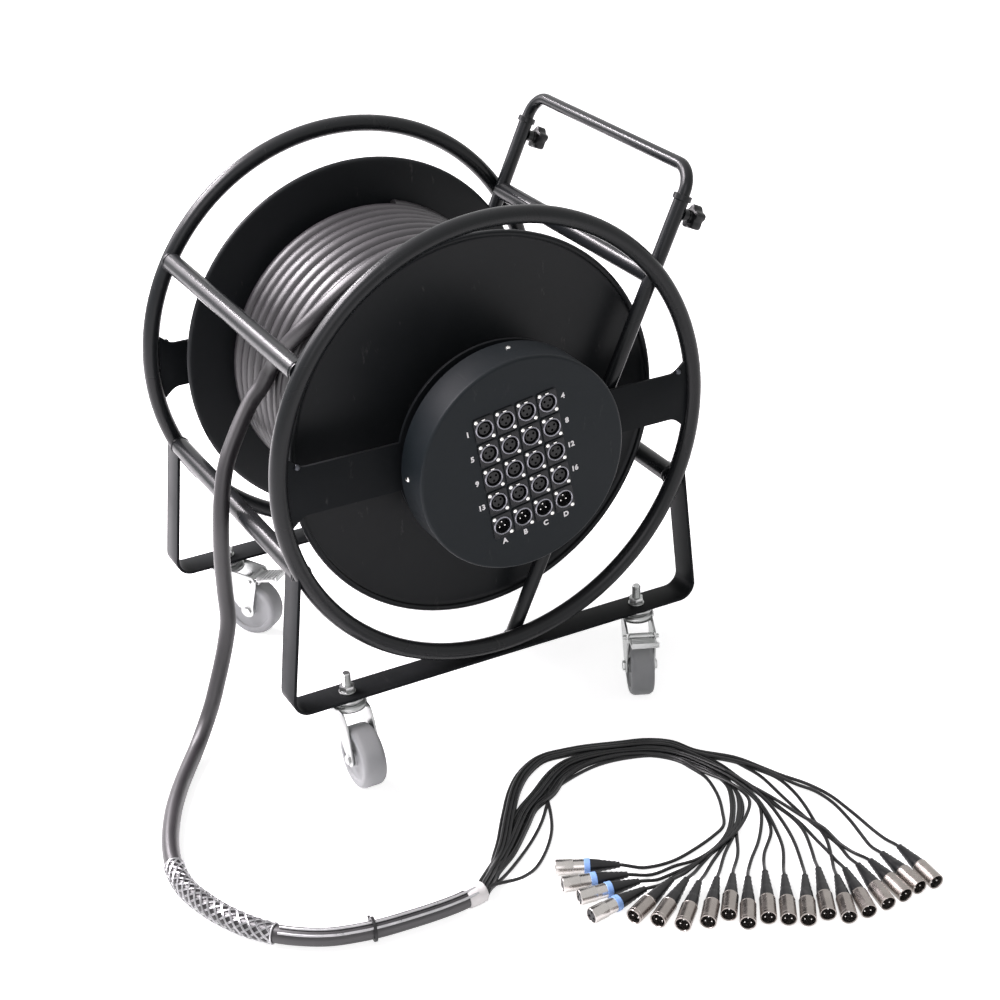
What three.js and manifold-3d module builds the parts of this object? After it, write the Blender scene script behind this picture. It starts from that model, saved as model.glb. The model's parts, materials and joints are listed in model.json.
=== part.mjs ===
// Wheeled stage box snake: a cable drum in a hooped frame, with a socket box that turns with the drum.
// Millimetres, +Z up. Everything is drawn about the drum's axle in the front hoop's plane:
// X runs right and Y runs back as seen from the socket box. The last lines set the part on the ground.
import * as THREE from 'three';
import { mergeVertices } from 'three/addons/utils/BufferGeometryUtils.js';
import Module from 'manifold-3d';

const wasm = await Module();
wasm.setup();

// Clearances and overruns
const seatGap = 0.3;
const runningGap = 0.3;
const cutOverrun = 6;
const weldTolerance = 1e-4;

// Hooped frame
const hoopRadius = 283;
const hoopTubeRadius = 11;
const hoopSpacing = 427.6;
const crossTubeRadius = 12.5;
const crossTubeSaddle = 6;
const upperLeftAngle = 149.4;
const upperRightAngle = 34;
const lowerLeftAngle = -156.2;
const lowerRightAngle = -24;

// Crossbars that carry the axle
const crossbarHeight = 62;
const crossbarThickness = 4.5;
const crossbarFlareRise = 17;
const crossbarFlareRun = 30;
const crossbarKneeRunShare = 1 / 3;
const crossbarKneeRiseShare = 1 / 4;
const crossbarEndShare = 1 / 2;
const hubDiscRadius = 132;

// Feet bent from flat bar
const footWidth = 40;
const footThickness = 4;
const footOverhang = 8;
const footHalfSpan = 289;
const footBendRadius = 20;
const footLegLean = 6.3;
const footLegTop = 108;
const footRestGap = 9;

// Oblique sleeves and the sliding handle
const sleeveRadius = 9.5;
const sleeveFootX = 26;
const sleeveLean = 24.56;
const sleeveRise = 104.3;
const sleeveCollarRadius = 12;
const sleeveCollarHeight = 7;
const handleTubeRadius = 8;
const handleRise = 32;
const handleBendRadius = 30;
const handleInsert = 335;

// Clamp knobs on the sleeves
const knobDrop = 23;
const knobRadius = 16;
const knobLobes = 5;
const knobLobeShare = 0.12;
const knobThickness = 14;
const knobNeckRadius = 8;
const knobNeckLength = 4;
const knobCapRadius = 7;
const knobCapRise = 2.5;
const knobStudRadius = 3;
const knobBossRadius = 7.5;
const knobBossLength = 7;

// Swivel casters with threaded stems
const casterHeight = 108;
const casterInset = 79;
const wheelRadius = 40;
const wheelWidth = 30;
const wheelTreadWidth = 20;
const wheelShoulderDrop = 3;
const wheelRimRadius = 29;
const wheelWebRecess = 3;
const casterTrail = 38;
const stemRadius = 5.5;
const stemRise = 18;
const nutAcross = 17;
const nutHeight = 8;
const washerRadius = 10.5;
const washerThickness = 1.5;
const raceRadius = 21;
const raceHeight = 6.3;
const crownRadius = 24;
const crownHeight = 8;
const kingpinRadius = 5;
const kingpinHeadRadius = 8.5;
const kingpinHeadHeight = 2.7;
const forkPlate = 3;
const forkSideGap = 1.5;
const forkEyeRadius = 10;
const forkToeShare = 1 / 3;
const forkChamferShare = 1 / 2;
const axleRadius = 4;
const axleHeadRadius = 7;
const axleHeadHeight = 4;

// Brake pedal of a locking caster
const pedalPivotBack = 46;
const pedalPivotDrop = 20;
const pedalPinRadius = 3;
const pedalBarrelRadius = 5;
const pedalEarRadius = 8;
const pedalWidth = 36;
const pedalReach = 44;
const pedalRootReach = 9;
const pedalPlate = 2.5;
const pedalLift = 12;
const pedalLip = 7;
const pedalShoeReach = 9;
const pedalShoeDrop = 8;
const pedalShoeWidth = 22;

// Drum, shaft and bearings
const frontFlangeY = 52.6;
const rearFlangeY = 378;
const flangeRadius = 250;
const flangeThickness = 1.5;
const flangeBeadRadius = 4;
const flangeBossRadius = 48;
const flangeBossDepth = 7;
const barrelRadius = 90;
const barrelWall = 3;
const shaftRadius = 20;
const shaftBoreRadius = 14;
const shaftRearStub = 16;
const shaftCollarRadius = 27;
const shaftCollarLength = 10;
const bearingRadius = 42;
const bearingDepth = 14;
const bearingSpigotRadius = 26;

// Cable on the drum: plain inner layers under one wound outer layer
const cableRadius = 10.5;
const windingRadius = 186.5;
const windingTurns = 14;
const windingSteps = 16;
const windingSides = 5;
const windingStartAngle = 75;
const leastTurnGap = 0.4;

// Round socket box in front of the frame
const boxRadius = 136;
const boxFrontY = -71;
const boxDepth = 52;
const boxWall = 1.5;
const boxFace = 2;
const boxEdge = 3;
const boxBackThickness = 3;
const boxBackNeckRadius = 30;
const boxBackNeckDepth = 8;
const boxTurn = 9;

// Chassis sockets in the box
const socketColumns = 4;
const femaleRows = 4;
const maleRows = 1;
const socketPitchX = 28.4;
const socketPitchZ = 33.3;
const socketFlangeWidth = 26;
const socketFlangeHeight = 31;
const socketFlangeThickness = 1.6;
const socketBodyRadius = 11.6;
const socketMouthRadius = 9.7;
const socketInsertRadius = 7.6;
const socketInsertSink = 0.8;
const socketMouthDepth = 11;
const socketBodyDepth = 16;
const socketSides = 8;
const contactCircleRadius = 4.2;
const contactRadius = 1.15;
const contactLength = 9;
const contactSides = 3;

// Free multicore cable, its wire grip and its tails
const branchLift = 0.5;
const tailLift = 2.7;
const cableSides = 8;
const cableSteps = 34;
const gripFirstStep = 22;
const gripLastStep = 27;
const gripWall = 1.4;
const bundleRadius = 12.5;
const bundleSteps = 8;
const branchRadius = 6;
const branchSteps = 4;
const tailRadius = 2.2;
const tailSides = 8;
const tailEntry = 16;

// In-line plugs on the tails
const plugSides = 8;
const plugShellRadius = 9.5;
const plugShellLength = 33;
const plugMouthRadius = 7.7;
const plugMouthDepth = 14;
const plugBootRadius = 8.4;
const plugBootEndRadius = 4.6;
const plugRingLength = 7;
const plugRingRadius = 9.3;
const plugGrooveRadius = 8.6;
const plugGrooveFrom = 20;
const plugInsertRadius = 6.4;
const plugInsertSink = 1;

// Route of the free cable's centre line, from the drum to the breakout: X, Y, Z about the axle
const cableRoute = [
  [-199.2, 220.7, 53.4], [-208, 224, 36.6], [-222, 226, 20], [-247, 219, -14], [-270, 208, -50],
  [-284, 197, -90], [-291, 190, -128], [-294, 189, -170], [-295, 187, -212], [-297, 180, -252],
  [-304, 176, -278], [-313, 171, -302], [-324, 164, -325], [-337, 155, -349], [-351, 147, -371],
  [-370, 130, -388], [-400, 91, -393.2], [-422, 58, -393.2], [-447, 14, -393.2], [-470, -40, -393.2],
  [-481, -84, -393.2], [-483, -125, -393.2], [-474, -165, -393.2], [-462, -197, -393.2],
  [-445, -228, -393.2], [-426, -252, -393.2], [-404, -271, -393.2], [-376, -288, -393.2],
  [-349, -297, -393.2], [-321, -303, -393.2], [-291, -306, -393.2], [-259, -308, -393.2],
  [-229, -308, -393.2], [-203, -305, -393.2],
];

// Route of the bundle of tails over the ground: X, Y about the axle
const bundleRoute = [
  [-202.7, -304.97], [-190.8, -303.6], [-173, -292], [-153, -266], [-121, -228], [-84, -185],
  [-45, -152], [-6, -132], [26, -122], [67, -122], [104, -133], [136, -151], [160, -180],
  [173, -220], [177, -244],
];

// Routes of the branches that the bundle opens into: X, Y about the axle
const branchRoutes = [
  [[172, -216], [177, -250], [172, -282], [150, -318], [118, -342], [84, -358]],
  [[150, -165], [190, -200], [216, -238], [236, -282]],
  [[174, -226], [190, -262], [200, -302], [212, -352]],
];

// Each plug's tip and boot end, and its tail from a branch to the boot: X, Y about the axle
const plugRoutes = [
  { tip: [-97, -304], boot: [-30, -337], tail: [[150, -318], [92, -339], [35, -352]] },
  { tip: [-106, -335], boot: [-32, -357], tail: [[118, -342], [62, -360], [16, -363]] },
  { tip: [-101, -364], boot: [-27, -374], tail: [[92, -355], [50, -369], [12, -373]] },
  { tip: [-106, -399], boot: [-28, -389], tail: [[86, -357], [52, -376], [12, -381.5]] },
  { tip: [-66, -424], boot: [7, -390], tail: [[98, -352], [62, -377]] },
  { tip: [-46, -443], boot: [22, -398], tail: [[126, -337], [84, -368]] },
  { tip: [-26, -463], boot: [31, -410], tail: [[142, -325], [98, -369]] },
  { tip: [1, -473], boot: [53, -414], tail: [[152, -314], [122, -352], [88, -384]] },
  { tip: [28, -474], boot: [72, -418], tail: [[164, -296], [138, -345], [106, -386]] },
  { tip: [38, -497], boot: [84, -431], tail: [[174, -268], [166, -334], [134, -380]] },
  { tip: [63, -501], boot: [107, -432], tail: [[177, -248], [180, -313], [158, -372]] },
  { tip: [81, -514], boot: [122, -449], tail: [[184, -252], [188, -316], [158, -398]] },
  { tip: [99, -526], boot: [142, -461], tail: [[194, -280], [194, -345], [168, -418]] },
  { tip: [124, -529], boot: [163, -458], tail: [[204, -318], [200, -370], [183, -416]] },
  { tip: [141, -545], boot: [173, -480], tail: [[234, -278], [230, -345], [205, -418]] },
  { tip: [166, -548], boot: [189, -474], tail: [[210, -344], [208, -390], [199, -433]] },
  { tip: [193, -548], boot: [207, -475], tail: [[212, -350], [218, -400], [214, -434]] },
  { tip: [219, -546], boot: [224, -476], tail: [[234, -276], [240, -350], [228, -434]] },
  { tip: [242, -543], boot: [244, -472], tail: [[235, -280], [256, -345], [248, -432]] },
  { tip: [264, -545], boot: [269, -472], tail: [[226, -256], [266, -325], [268, -415]] },
];
const femalePlugs = 4;

// Colours of the finishes
const finish = {
  frameBlack: [0x1f2326, 0.42, 0.3],
  drumBlack: [0x1b1e21, 0.5, 0.3],
  boxBlack: [0x23262f, 0.45, 0.3],
  zinc: [0xb9bdb8, 0.35, 0.9],
  wheelGrey: [0xa2a2ad, 0.6, 0],
  blackPlastic: [0x141517, 0.5, 0],
  cableBlack: [0x3b383d, 0.5, 0],
  tailBlack: [0x17191a, 0.55, 0],
  socketNickel: [0x4a4a50, 0.3, 0.8],
  plugNickel: [0xa89f9b, 0.28, 0.9],
  wire: [0xd0d2d4, 0.35, 0.9],
  bearingSteel: [0x6d7074, 0.4, 0.8],
};

// Derived heights and places
const radians = THREE.MathUtils.degToRad;
const footTop = -(hoopRadius + hoopTubeRadius + seatGap);
const footUnderside = footTop - footThickness;
const groundZ = footUnderside - seatGap - casterHeight;
const frontFootY = footWidth / 2 - footOverhang;
const rearFootY = hoopSpacing - frontFootY;
const frontSleeveY = hoopTubeRadius + seatGap + sleeveRadius;
const rearSleeveY = hoopSpacing - frontSleeveY;
const sleeveAim = new THREE.Vector3(Math.sin(radians(sleeveLean)), 0, Math.cos(radians(sleeveLean)));
const knobAim = new THREE.Vector3(sleeveAim.z, 0, -sleeveAim.x);
// Along the sleeve from its foot: the point nearest the axle, and the crossing with the hoop above it
const sleeveNearest = -(sleeveFootX * sleeveAim.x + footTop * sleeveAim.z);
const sleeveMissSquared = sleeveFootX ** 2 + footTop ** 2 - sleeveNearest ** 2;
const sleeveAtHoop = sleeveNearest + Math.sqrt(hoopRadius ** 2 - sleeveMissSquared);
const sleeveLength = sleeveAtHoop + sleeveRise;
const casterX = footHalfSpan - casterInset;
const boxBackY = boxFrontY + boxDepth;

// Solids made of meshes: closed bodies, joins, cuts, turned shapes and swept sections

// One closed body with its faces pointing out, made of position alone
function closedBody(geometry) {
  const bare = new THREE.BufferGeometry();
  bare.setAttribute('position', geometry.getAttribute('position').clone());
  if (geometry.index) bare.setIndex(geometry.index.clone());
  const merged = mergeVertices(bare, weldTolerance);
  const at = merged.getAttribute('position');
  const corner = [new THREE.Vector3(), new THREE.Vector3(), new THREE.Vector3()];
  const kept = [];
  let sixVolumes = 0;
  for (let i = 0; i < merged.index.count; i += 3) {
    const ids = [merged.index.getX(i), merged.index.getX(i + 1), merged.index.getX(i + 2)];
    if (new Set(ids).size < ids.length) continue;
    ids.forEach((id, k) => corner[k].fromBufferAttribute(at, id));
    sixVolumes += corner[0].dot(corner[1].clone().cross(corner[2]));
    kept.push(ids);
  }
  if (sixVolumes < 0) kept.forEach((ids) => ids.reverse());
  merged.setIndex(kept.flat());
  return merged;
}

function toSolid(geometry) {
  const body = closedBody(geometry);
  return new wasm.Manifold(new wasm.Mesh({
    numProp: 3,
    vertProperties: new Float32Array(body.getAttribute('position').array),
    triVerts: new Uint32Array(body.index.array),
  }));
}

function geometryOf(solid) {
  const mesh = solid.getMesh();
  const geometry = new THREE.BufferGeometry();
  geometry.setAttribute('position', new THREE.BufferAttribute(new Float32Array(mesh.vertProperties), 3));
  geometry.setIndex(new THREE.BufferAttribute(new Uint32Array(mesh.triVerts), 1));
  return geometry;
}

function fromSolid(solid) {
  return geometryOf(solid.asOriginal().simplify(weldTolerance));
}

// Draws the run inside the tool as faces of its own, with the body left as it was
function withOwnFaces(geometry, tool) {
  const whole = toSolid(geometry);
  const run = toSolid(fromSolid(whole.intersect(toSolid(tool))));
  return geometryOf(whole.subtract(toSolid(tool)).add(run));
}

function join(...geometries) {
  return fromSolid(geometries.map(toSolid).reduce((whole, piece) => whole.add(piece)));
}

// Cuts the tools away and keeps the largest body that is left
function cut(geometry, ...tools) {
  const left = tools.map(toSolid).reduce((whole, tool) => whole.subtract(tool), toSolid(geometry));
  const larger = (one, other) => (other.volume() > one.volume() ? other : one);
  return fromSolid(left.decompose().reduce(larger));
}

// Radius of a faceted hole whose flats clear a round of the given radius
function clearBore(radius, gap, sides) {
  return (radius + gap) / Math.cos(Math.PI / sides);
}

// Revolved about Y: pairs of radius and place along the axis
function turned(profile, sides) {
  return closedBody(new THREE.LatheGeometry(profile.map(([r, y]) => new THREE.Vector2(r, y)), sides));
}

// A turned ring, closed on itself
function turnedRing(profile, sides) {
  return turned([...profile, profile[0]], sides);
}

// An outline in X and Z, thickened along Y from the given place
function wallAcrossY(shape, startY, thickness, curveSegments) {
  const geometry = new THREE.ExtrudeGeometry(shape, { depth: thickness, bevelEnabled: false, curveSegments });
  return closedBody(geometry.rotateX(Math.PI / 2).translate(0, startY + thickness, 0));
}

function circleShape(radius, sides) {
  const shape = new THREE.Shape();
  for (let i = 0; i < sides; i += 1) {
    const turn = (i / sides) * Math.PI * 2;
    if (i === 0) shape.moveTo(radius, 0);
    else shape.lineTo(radius * Math.cos(turn), radius * Math.sin(turn));
  }
  shape.closePath();
  return shape;
}

// A path through stations that keep their places when a section is swept along it
class StationPath extends THREE.Curve {
  constructor(stations, tangents) {
    super();
    this.stations = stations;
    this.tangents = tangents;
  }

  getUtoTmapping(u) {
    return u;
  }

  pick(list, t) {
    const place = t * (list.length - 1);
    const low = Math.min(Math.floor(place), list.length - 2);
    return list[low].clone().lerp(list[low + 1], place - low);
  }

  getPoint(t, target = new THREE.Vector3()) {
    return target.copy(this.pick(this.stations, t));
  }

  getTangent(t, target = new THREE.Vector3()) {
    return target.copy(this.pick(this.tangents, t)).normalize();
  }
}

function sweep(path, radius, sides) {
  return closedBody(new THREE.ExtrudeGeometry(circleShape(radius, sides), {
    extrudePath: path,
    steps: path.stations.length - 1,
    bevelEnabled: false,
  }));
}

// A smooth path through hand-chosen points, with evenly spaced stations
function routePath(points, steps) {
  const curve = new THREE.CatmullRomCurve3(points.map((p) => new THREE.Vector3(...p)), false, 'centripetal');
  const shares = Array.from({ length: steps + 1 }, (_, i) => i / steps);
  return new StationPath(shares.map((u) => curve.getPointAt(u)), shares.map((u) => curve.getTangentAt(u)));
}

// A path of straight runs joined by round bends at its inner corners
function bentPath(corners, bendRadius, bendSteps) {
  const stations = [corners[0]];
  const tangents = [corners[1].clone().sub(corners[0]).normalize()];
  for (let i = 1; i < corners.length - 1; i += 1) {
    const arrive = corners[i].clone().sub(corners[i - 1]).normalize();
    const leave = corners[i + 1].clone().sub(corners[i]).normalize();
    const bend = arrive.angleTo(leave);
    const axis = arrive.clone().cross(leave).normalize();
    const start = corners[i].clone().addScaledVector(arrive, -bendRadius * Math.tan(bend / 2));
    const centre = start.clone().addScaledVector(axis.clone().cross(arrive), bendRadius);
    for (let k = 0; k <= bendSteps; k += 1) {
      const turn = (bend * k) / bendSteps;
      stations.push(start.clone().sub(centre).applyAxisAngle(axis, turn).add(centre));
      tangents.push(arrive.clone().applyAxisAngle(axis, turn));
    }
  }
  const [beforeLast, last] = corners.slice(-2);
  stations.push(last);
  tangents.push(last.clone().sub(beforeLast).normalize());
  return new StationPath(stations, tangents);
}

function material([color, roughness, metalness]) {
  return new THREE.MeshStandardMaterial({ color, roughness, metalness });
}

// The whole part
const reel = new THREE.Group();

function addNode(name, geometry, look, group = reel) {
  const mesh = new THREE.Mesh(geometry, material(look));
  mesh.name = name;
  group.add(mesh);
  return mesh;
}

// Hoops: bent round tube, one at each end of the drum
const hoopSides = 8;
const hoopSteps = 30;

function hoopAt(y, tubeRadius) {
  const ring = new THREE.TorusGeometry(hoopRadius, tubeRadius, hoopSides, hoopSteps);
  return closedBody(ring.rotateX(Math.PI / 2).translate(0, y, 0));
}

addNode('hoop_front', hoopAt(0, hoopTubeRadius), finish.frameBlack);
addNode('hoop_rear', hoopAt(hoopSpacing, hoopTubeRadius), finish.frameBlack);

// A round bar on the sleeve's slant, in the sleeve's plane at the given place along Y
const sleeveSides = 8;

function slantedBar(y, from, to, radius, sides = sleeveSides) {
  const bar = new THREE.CylinderGeometry(radius, radius, to - from, sides);
  bar.translate(0, (to + from) / 2, 0).rotateX(Math.PI / 2);
  const slant = new THREE.Quaternion().setFromUnitVectors(new THREE.Vector3(0, 0, 1), sleeveAim);
  return closedBody(bar.applyQuaternion(slant).translate(sleeveFootX, y, footTop));
}

// Cross tubes, saddle cut onto the hoops and, at the upper right, onto the sleeves
const crossTubeSides = 12;

const tubeToolRadius = crossTubeRadius + seatGap / Math.cos(Math.PI / crossTubeSides);

function crossTubeBar(angle, fromY, toY, radius) {
  const bar = new THREE.CylinderGeometry(radius, radius, toY - fromY, crossTubeSides);
  const x = hoopRadius * Math.cos(radians(angle));
  const z = hoopRadius * Math.sin(radians(angle));
  return bar.translate(x, (fromY + toY) / 2, z);
}

function crossTubeAt(angle, fromY, toY, ...tools) {
  return cut(crossTubeBar(angle, fromY, toY, crossTubeRadius), ...tools);
}

const hoopTools = [hoopAt(0, hoopTubeRadius + seatGap), hoopAt(hoopSpacing, hoopTubeRadius + seatGap)];
const sleeveToolRadius = sleeveRadius + seatGap / Math.cos(Math.PI / sleeveSides);
const sleeveTools = [frontSleeveY, rearSleeveY].map((y) => slantedBar(y, 0, sleeveLength, sleeveToolRadius));
const onHoops = [crossTubeSaddle, hoopSpacing - crossTubeSaddle, ...hoopTools];
const onSleeves = [frontSleeveY + crossTubeSaddle, rearSleeveY - crossTubeSaddle, ...sleeveTools];
addNode('cross_tube_upper_left', crossTubeAt(upperLeftAngle, ...onHoops), finish.frameBlack);
addNode('cross_tube_lower_left', crossTubeAt(lowerLeftAngle, ...onHoops), finish.frameBlack);
addNode('cross_tube_lower_right', crossTubeAt(lowerRightAngle, ...onHoops), finish.frameBlack);
addNode('cross_tube_upper_right', crossTubeAt(upperRightAngle, ...onSleeves), finish.frameBlack);

// Crossbars: flat bars flared onto the hoops, the front one widened into a disc round the bearing
const crossbarArcSteps = 2;
const hubDiscSteps = 12;
const bearingSides = 12;

function crossbarShape(discRadius) {
  const endRadius = hoopRadius - hoopTubeRadius * crossbarEndShare;
  const half = crossbarHeight / 2;
  const flareAngle = Math.asin((half + crossbarFlareRise) / endRadius);
  const flareX = endRadius * Math.cos(flareAngle);
  const shape = new THREE.Shape();
  const points = [];
  const endArc = (from, to) => {
    for (let k = 0; k <= crossbarArcSteps; k += 1) {
      const turn = from + ((to - from) * k) / crossbarArcSteps;
      points.push([endRadius * Math.cos(turn), endRadius * Math.sin(turn)]);
    }
  };
  const middle = (side) => {
    if (discRadius <= half) return;
    const touch = Math.asin(half / discRadius);
    const from = side > 0 ? touch : Math.PI + touch;
    for (let k = 0; k <= hubDiscSteps; k += 1) {
      const turn = from + ((Math.PI - 2 * touch) * k) / hubDiscSteps;
      points.push([discRadius * Math.cos(turn), discRadius * Math.sin(turn)]);
    }
  };
  const flareStart = flareX - crossbarFlareRun;
  const kneeX = flareX - crossbarFlareRun * crossbarKneeRunShare;
  const kneeZ = half + crossbarFlareRise * crossbarKneeRiseShare;
  endArc(-flareAngle, flareAngle);
  points.push([kneeX, kneeZ], [flareStart, half]);
  middle(1);
  points.push([-flareStart, half], [-kneeX, kneeZ]);
  endArc(Math.PI - flareAngle, Math.PI + flareAngle);
  points.push([-kneeX, -kneeZ], [-flareStart, -half]);
  middle(-1);
  points.push([flareStart, -half], [kneeX, -kneeZ]);
  points.forEach(([x, z], i) => (i === 0 ? shape.moveTo(x, z) : shape.lineTo(x, z)));
  shape.closePath();
  const bore = circleShape(clearBore(bearingSpigotRadius, seatGap, bearingSides), bearingSides);
  shape.holes.push(new THREE.Path(bore.getPoints()));
  return shape;
}

const halfBar = crossbarThickness / 2;
const frontBar = wallAcrossY(crossbarShape(hubDiscRadius), -halfBar, crossbarThickness);
const rearBar = wallAcrossY(crossbarShape(0), hoopSpacing - halfBar, crossbarThickness);
addNode('crossbar_front', cut(frontBar, hoopTools[0]), finish.frameBlack);
addNode('crossbar_rear', cut(rearBar, hoopTools[1]), finish.frameBlack);

// Feet: flat bar bent up at both ends, the legs cut to the hoop and the cross tubes they are welded to
const footBendSteps = 4;

function footAt(centreY, hoopTool) {
  const rise = -footLegTop - footUnderside;
  const corner = footUnderside + footThickness / 2;
  const topX = footHalfSpan - rise * Math.tan(radians(footLegLean));
  const line = bentPath([
    new THREE.Vector3(-topX, 0, corner + rise),
    new THREE.Vector3(-footHalfSpan, 0, corner),
    new THREE.Vector3(footHalfSpan, 0, corner),
    new THREE.Vector3(topX, 0, corner + rise),
  ], footBendRadius, footBendSteps);
  const side = (sign) => line.stations.map((p, i) => [
    p.x - (sign * line.tangents[i].z * footThickness) / 2,
    p.z + (sign * line.tangents[i].x * footThickness) / 2,
  ]);
  const shape = new THREE.Shape([...side(1), ...side(-1).reverse()].map(([x, z]) => new THREE.Vector2(x, z)));
  const bar = wallAcrossY(shape, centreY - footWidth / 2, footWidth);
  const holes = [-casterX, casterX].map((x) => {
    const hole = new THREE.CylinderGeometry(stemHole, stemHole, footThickness + cutOverrun, stemSides);
    return hole.rotateX(Math.PI / 2).translate(x, centreY, corner);
  });
  const tubeTools = [lowerLeftAngle, lowerRightAngle].map((angle) => (
    crossTubeBar(angle, crossTubeSaddle - seatGap, hoopSpacing - crossTubeSaddle + seatGap, tubeToolRadius)
  ));
  // The run between the casters, clear of their races, is what the foot rests on
  const restHalf = casterX - raceRadius - footRestGap;
  const rest = new THREE.BoxGeometry(2 * restHalf, footWidth + cutOverrun, footThickness + cutOverrun);
  return withOwnFaces(cut(bar, hoopTool, ...tubeTools, ...holes), rest.translate(0, centreY, corner));
}

const stemSides = 8;
const stemHole = clearBore(stemRadius, seatGap, stemSides);
addNode('foot_front', footAt(frontFootY, hoopTools[0]), finish.frameBlack);
addNode('foot_rear', footAt(rearFootY, hoopTools[1]), finish.frameBlack);

// Sleeves: open tubes that stand on the feet, with a collar at the mouth and a boss for the clamp knob
const knobSides = 8;
const knobAlong = sleeveLength - knobDrop;
const sleeveBore = clearBore(handleTubeRadius, runningGap, sleeveSides);
const knobBossEnd = sleeveRadius + knobBossLength;
const knobTurn = new THREE.Quaternion().setFromUnitVectors(new THREE.Vector3(0, 1, 0), knobAim);

function knobBar(y, from, to, radius) {
  const bar = new THREE.CylinderGeometry(radius, radius, to - from, knobSides);
  bar.translate(0, (to + from) / 2, 0);
  const place = sleeveAim.clone().multiplyScalar(knobAlong);
  return closedBody(bar.applyQuaternion(knobTurn).translate(sleeveFootX + place.x, y, footTop + place.z));
}

function sleeveAt(y) {
  const tube = slantedBar(y, -cutOverrun, sleeveLength, sleeveRadius);
  const collar = slantedBar(y, sleeveLength - sleeveCollarHeight, sleeveLength, sleeveCollarRadius);
  const boss = knobBar(y, handleTubeRadius + runningGap, knobBossEnd, knobBossRadius);
  const bore = slantedBar(y, -2 * cutOverrun, sleeveLength + cutOverrun, sleeveBore);
  const studHole = knobBar(y, 0, knobBossEnd + cutOverrun, clearBore(knobStudRadius, runningGap, knobSides));
  const below = new THREE.BoxGeometry(footWidth, footWidth, footWidth);
  below.translate(sleeveFootX, y, footTop + seatGap - footWidth / 2);
  return cut(join(tube, collar, boss), bore, studHole, below);
}

addNode('sleeve_front', sleeveAt(frontSleeveY), finish.frameBlack);
addNode('sleeve_rear', sleeveAt(rearSleeveY), finish.frameBlack);

// Handle: one bent tube whose two ends slide in the sleeves
const handleSides = sleeveSides;
const handleBendSteps = 4;

function alongSleeve(y, along) {
  return new THREE.Vector3(sleeveFootX, y, footTop).addScaledVector(sleeveAim, along);
}

const handleTop = sleeveLength + handleRise;
addNode('handle_bar', sweep(bentPath([
  alongSleeve(frontSleeveY, sleeveLength - handleInsert),
  alongSleeve(frontSleeveY, handleTop),
  alongSleeve(rearSleeveY, handleTop),
  alongSleeve(rearSleeveY, sleeveLength - handleInsert),
], handleBendRadius, handleBendSteps), handleTubeRadius, handleSides), finish.frameBlack);

// Clamp knobs: lobed grip, neck, cap and a stud that reaches the handle's tube
const knobOutlineSteps = 4;

function clampKnob() {
  const outline = [];
  for (let i = 0; i < knobLobes * knobOutlineSteps; i += 1) {
    const turn = (i / (knobLobes * knobOutlineSteps)) * Math.PI * 2;
    const radius = knobRadius * (1 - knobLobeShare + knobLobeShare * Math.cos(knobLobes * turn));
    outline.push(new THREE.Vector2(radius * Math.cos(turn), radius * Math.sin(turn)));
  }
  const seat = knobBossEnd + seatGap;
  const gripFrom = seat + knobNeckLength;
  const grip = wallAcrossY(new THREE.Shape(outline), gripFrom, knobThickness);
  const core = turned([
    [0, handleTubeRadius + runningGap],
    [knobStudRadius, handleTubeRadius + runningGap],
    [knobStudRadius, seat],
    [knobNeckRadius, seat],
    [knobNeckRadius, gripFrom + knobThickness / 2],
    [knobCapRadius, gripFrom + knobThickness + knobCapRise],
    [0, gripFrom + knobThickness + knobCapRise],
  ], knobSides);
  return join(grip, core);
}

for (const [name, y] of [['knob_front', frontSleeveY], ['knob_rear', rearSleeveY]]) {
  const knob = addNode(name, clampKnob(), finish.blackPlastic);
  knob.position.copy(alongSleeve(y, knobAlong));
  knob.quaternion.copy(knobTurn);
}

// Casters: each hangs under a foot, with its fork turned so that the wheel trails the given way
const forkSides = 10;
const crownTop = -(seatGap + raceHeight + seatGap);
const crownBottom = crownTop - crownHeight;
const axleDrop = casterHeight - wheelRadius;
const forkInside = wheelWidth / 2 + forkSideGap;
const forkOutside = forkInside + forkPlate;
const axleSides = 8;

function casterStem() {
  const head = crownBottom - seatGap;
  const barTop = footThickness + seatGap + seatGap;
  const nutTop = barTop + washerThickness + nutHeight;
  const stem = turned([
    [0, head - kingpinHeadHeight],
    [kingpinHeadRadius, head - kingpinHeadHeight],
    [kingpinHeadRadius, head],
    [kingpinRadius, head],
    [kingpinRadius, crownTop + seatGap],
    [raceRadius, crownTop + seatGap],
    [raceRadius, -raceHeight / 2],
    [stemRadius, 0],
    [stemRadius, barTop],
    [washerRadius, barTop],
    [washerRadius, barTop + washerThickness],
    [stemRadius, barTop + washerThickness],
    [stemRadius, nutTop + stemRise],
    [0, nutTop + stemRise],
  ], stemSides).rotateX(Math.PI / 2);
  const nutRadius = nutAcross / 2 / Math.cos(Math.PI / 6);
  const nut = new THREE.CylinderGeometry(nutRadius, nutRadius, nutHeight, 6).rotateX(Math.PI / 2);
  return join(stem, nut.translate(0, 0, barTop + washerThickness + nutHeight / 2));
}

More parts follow.
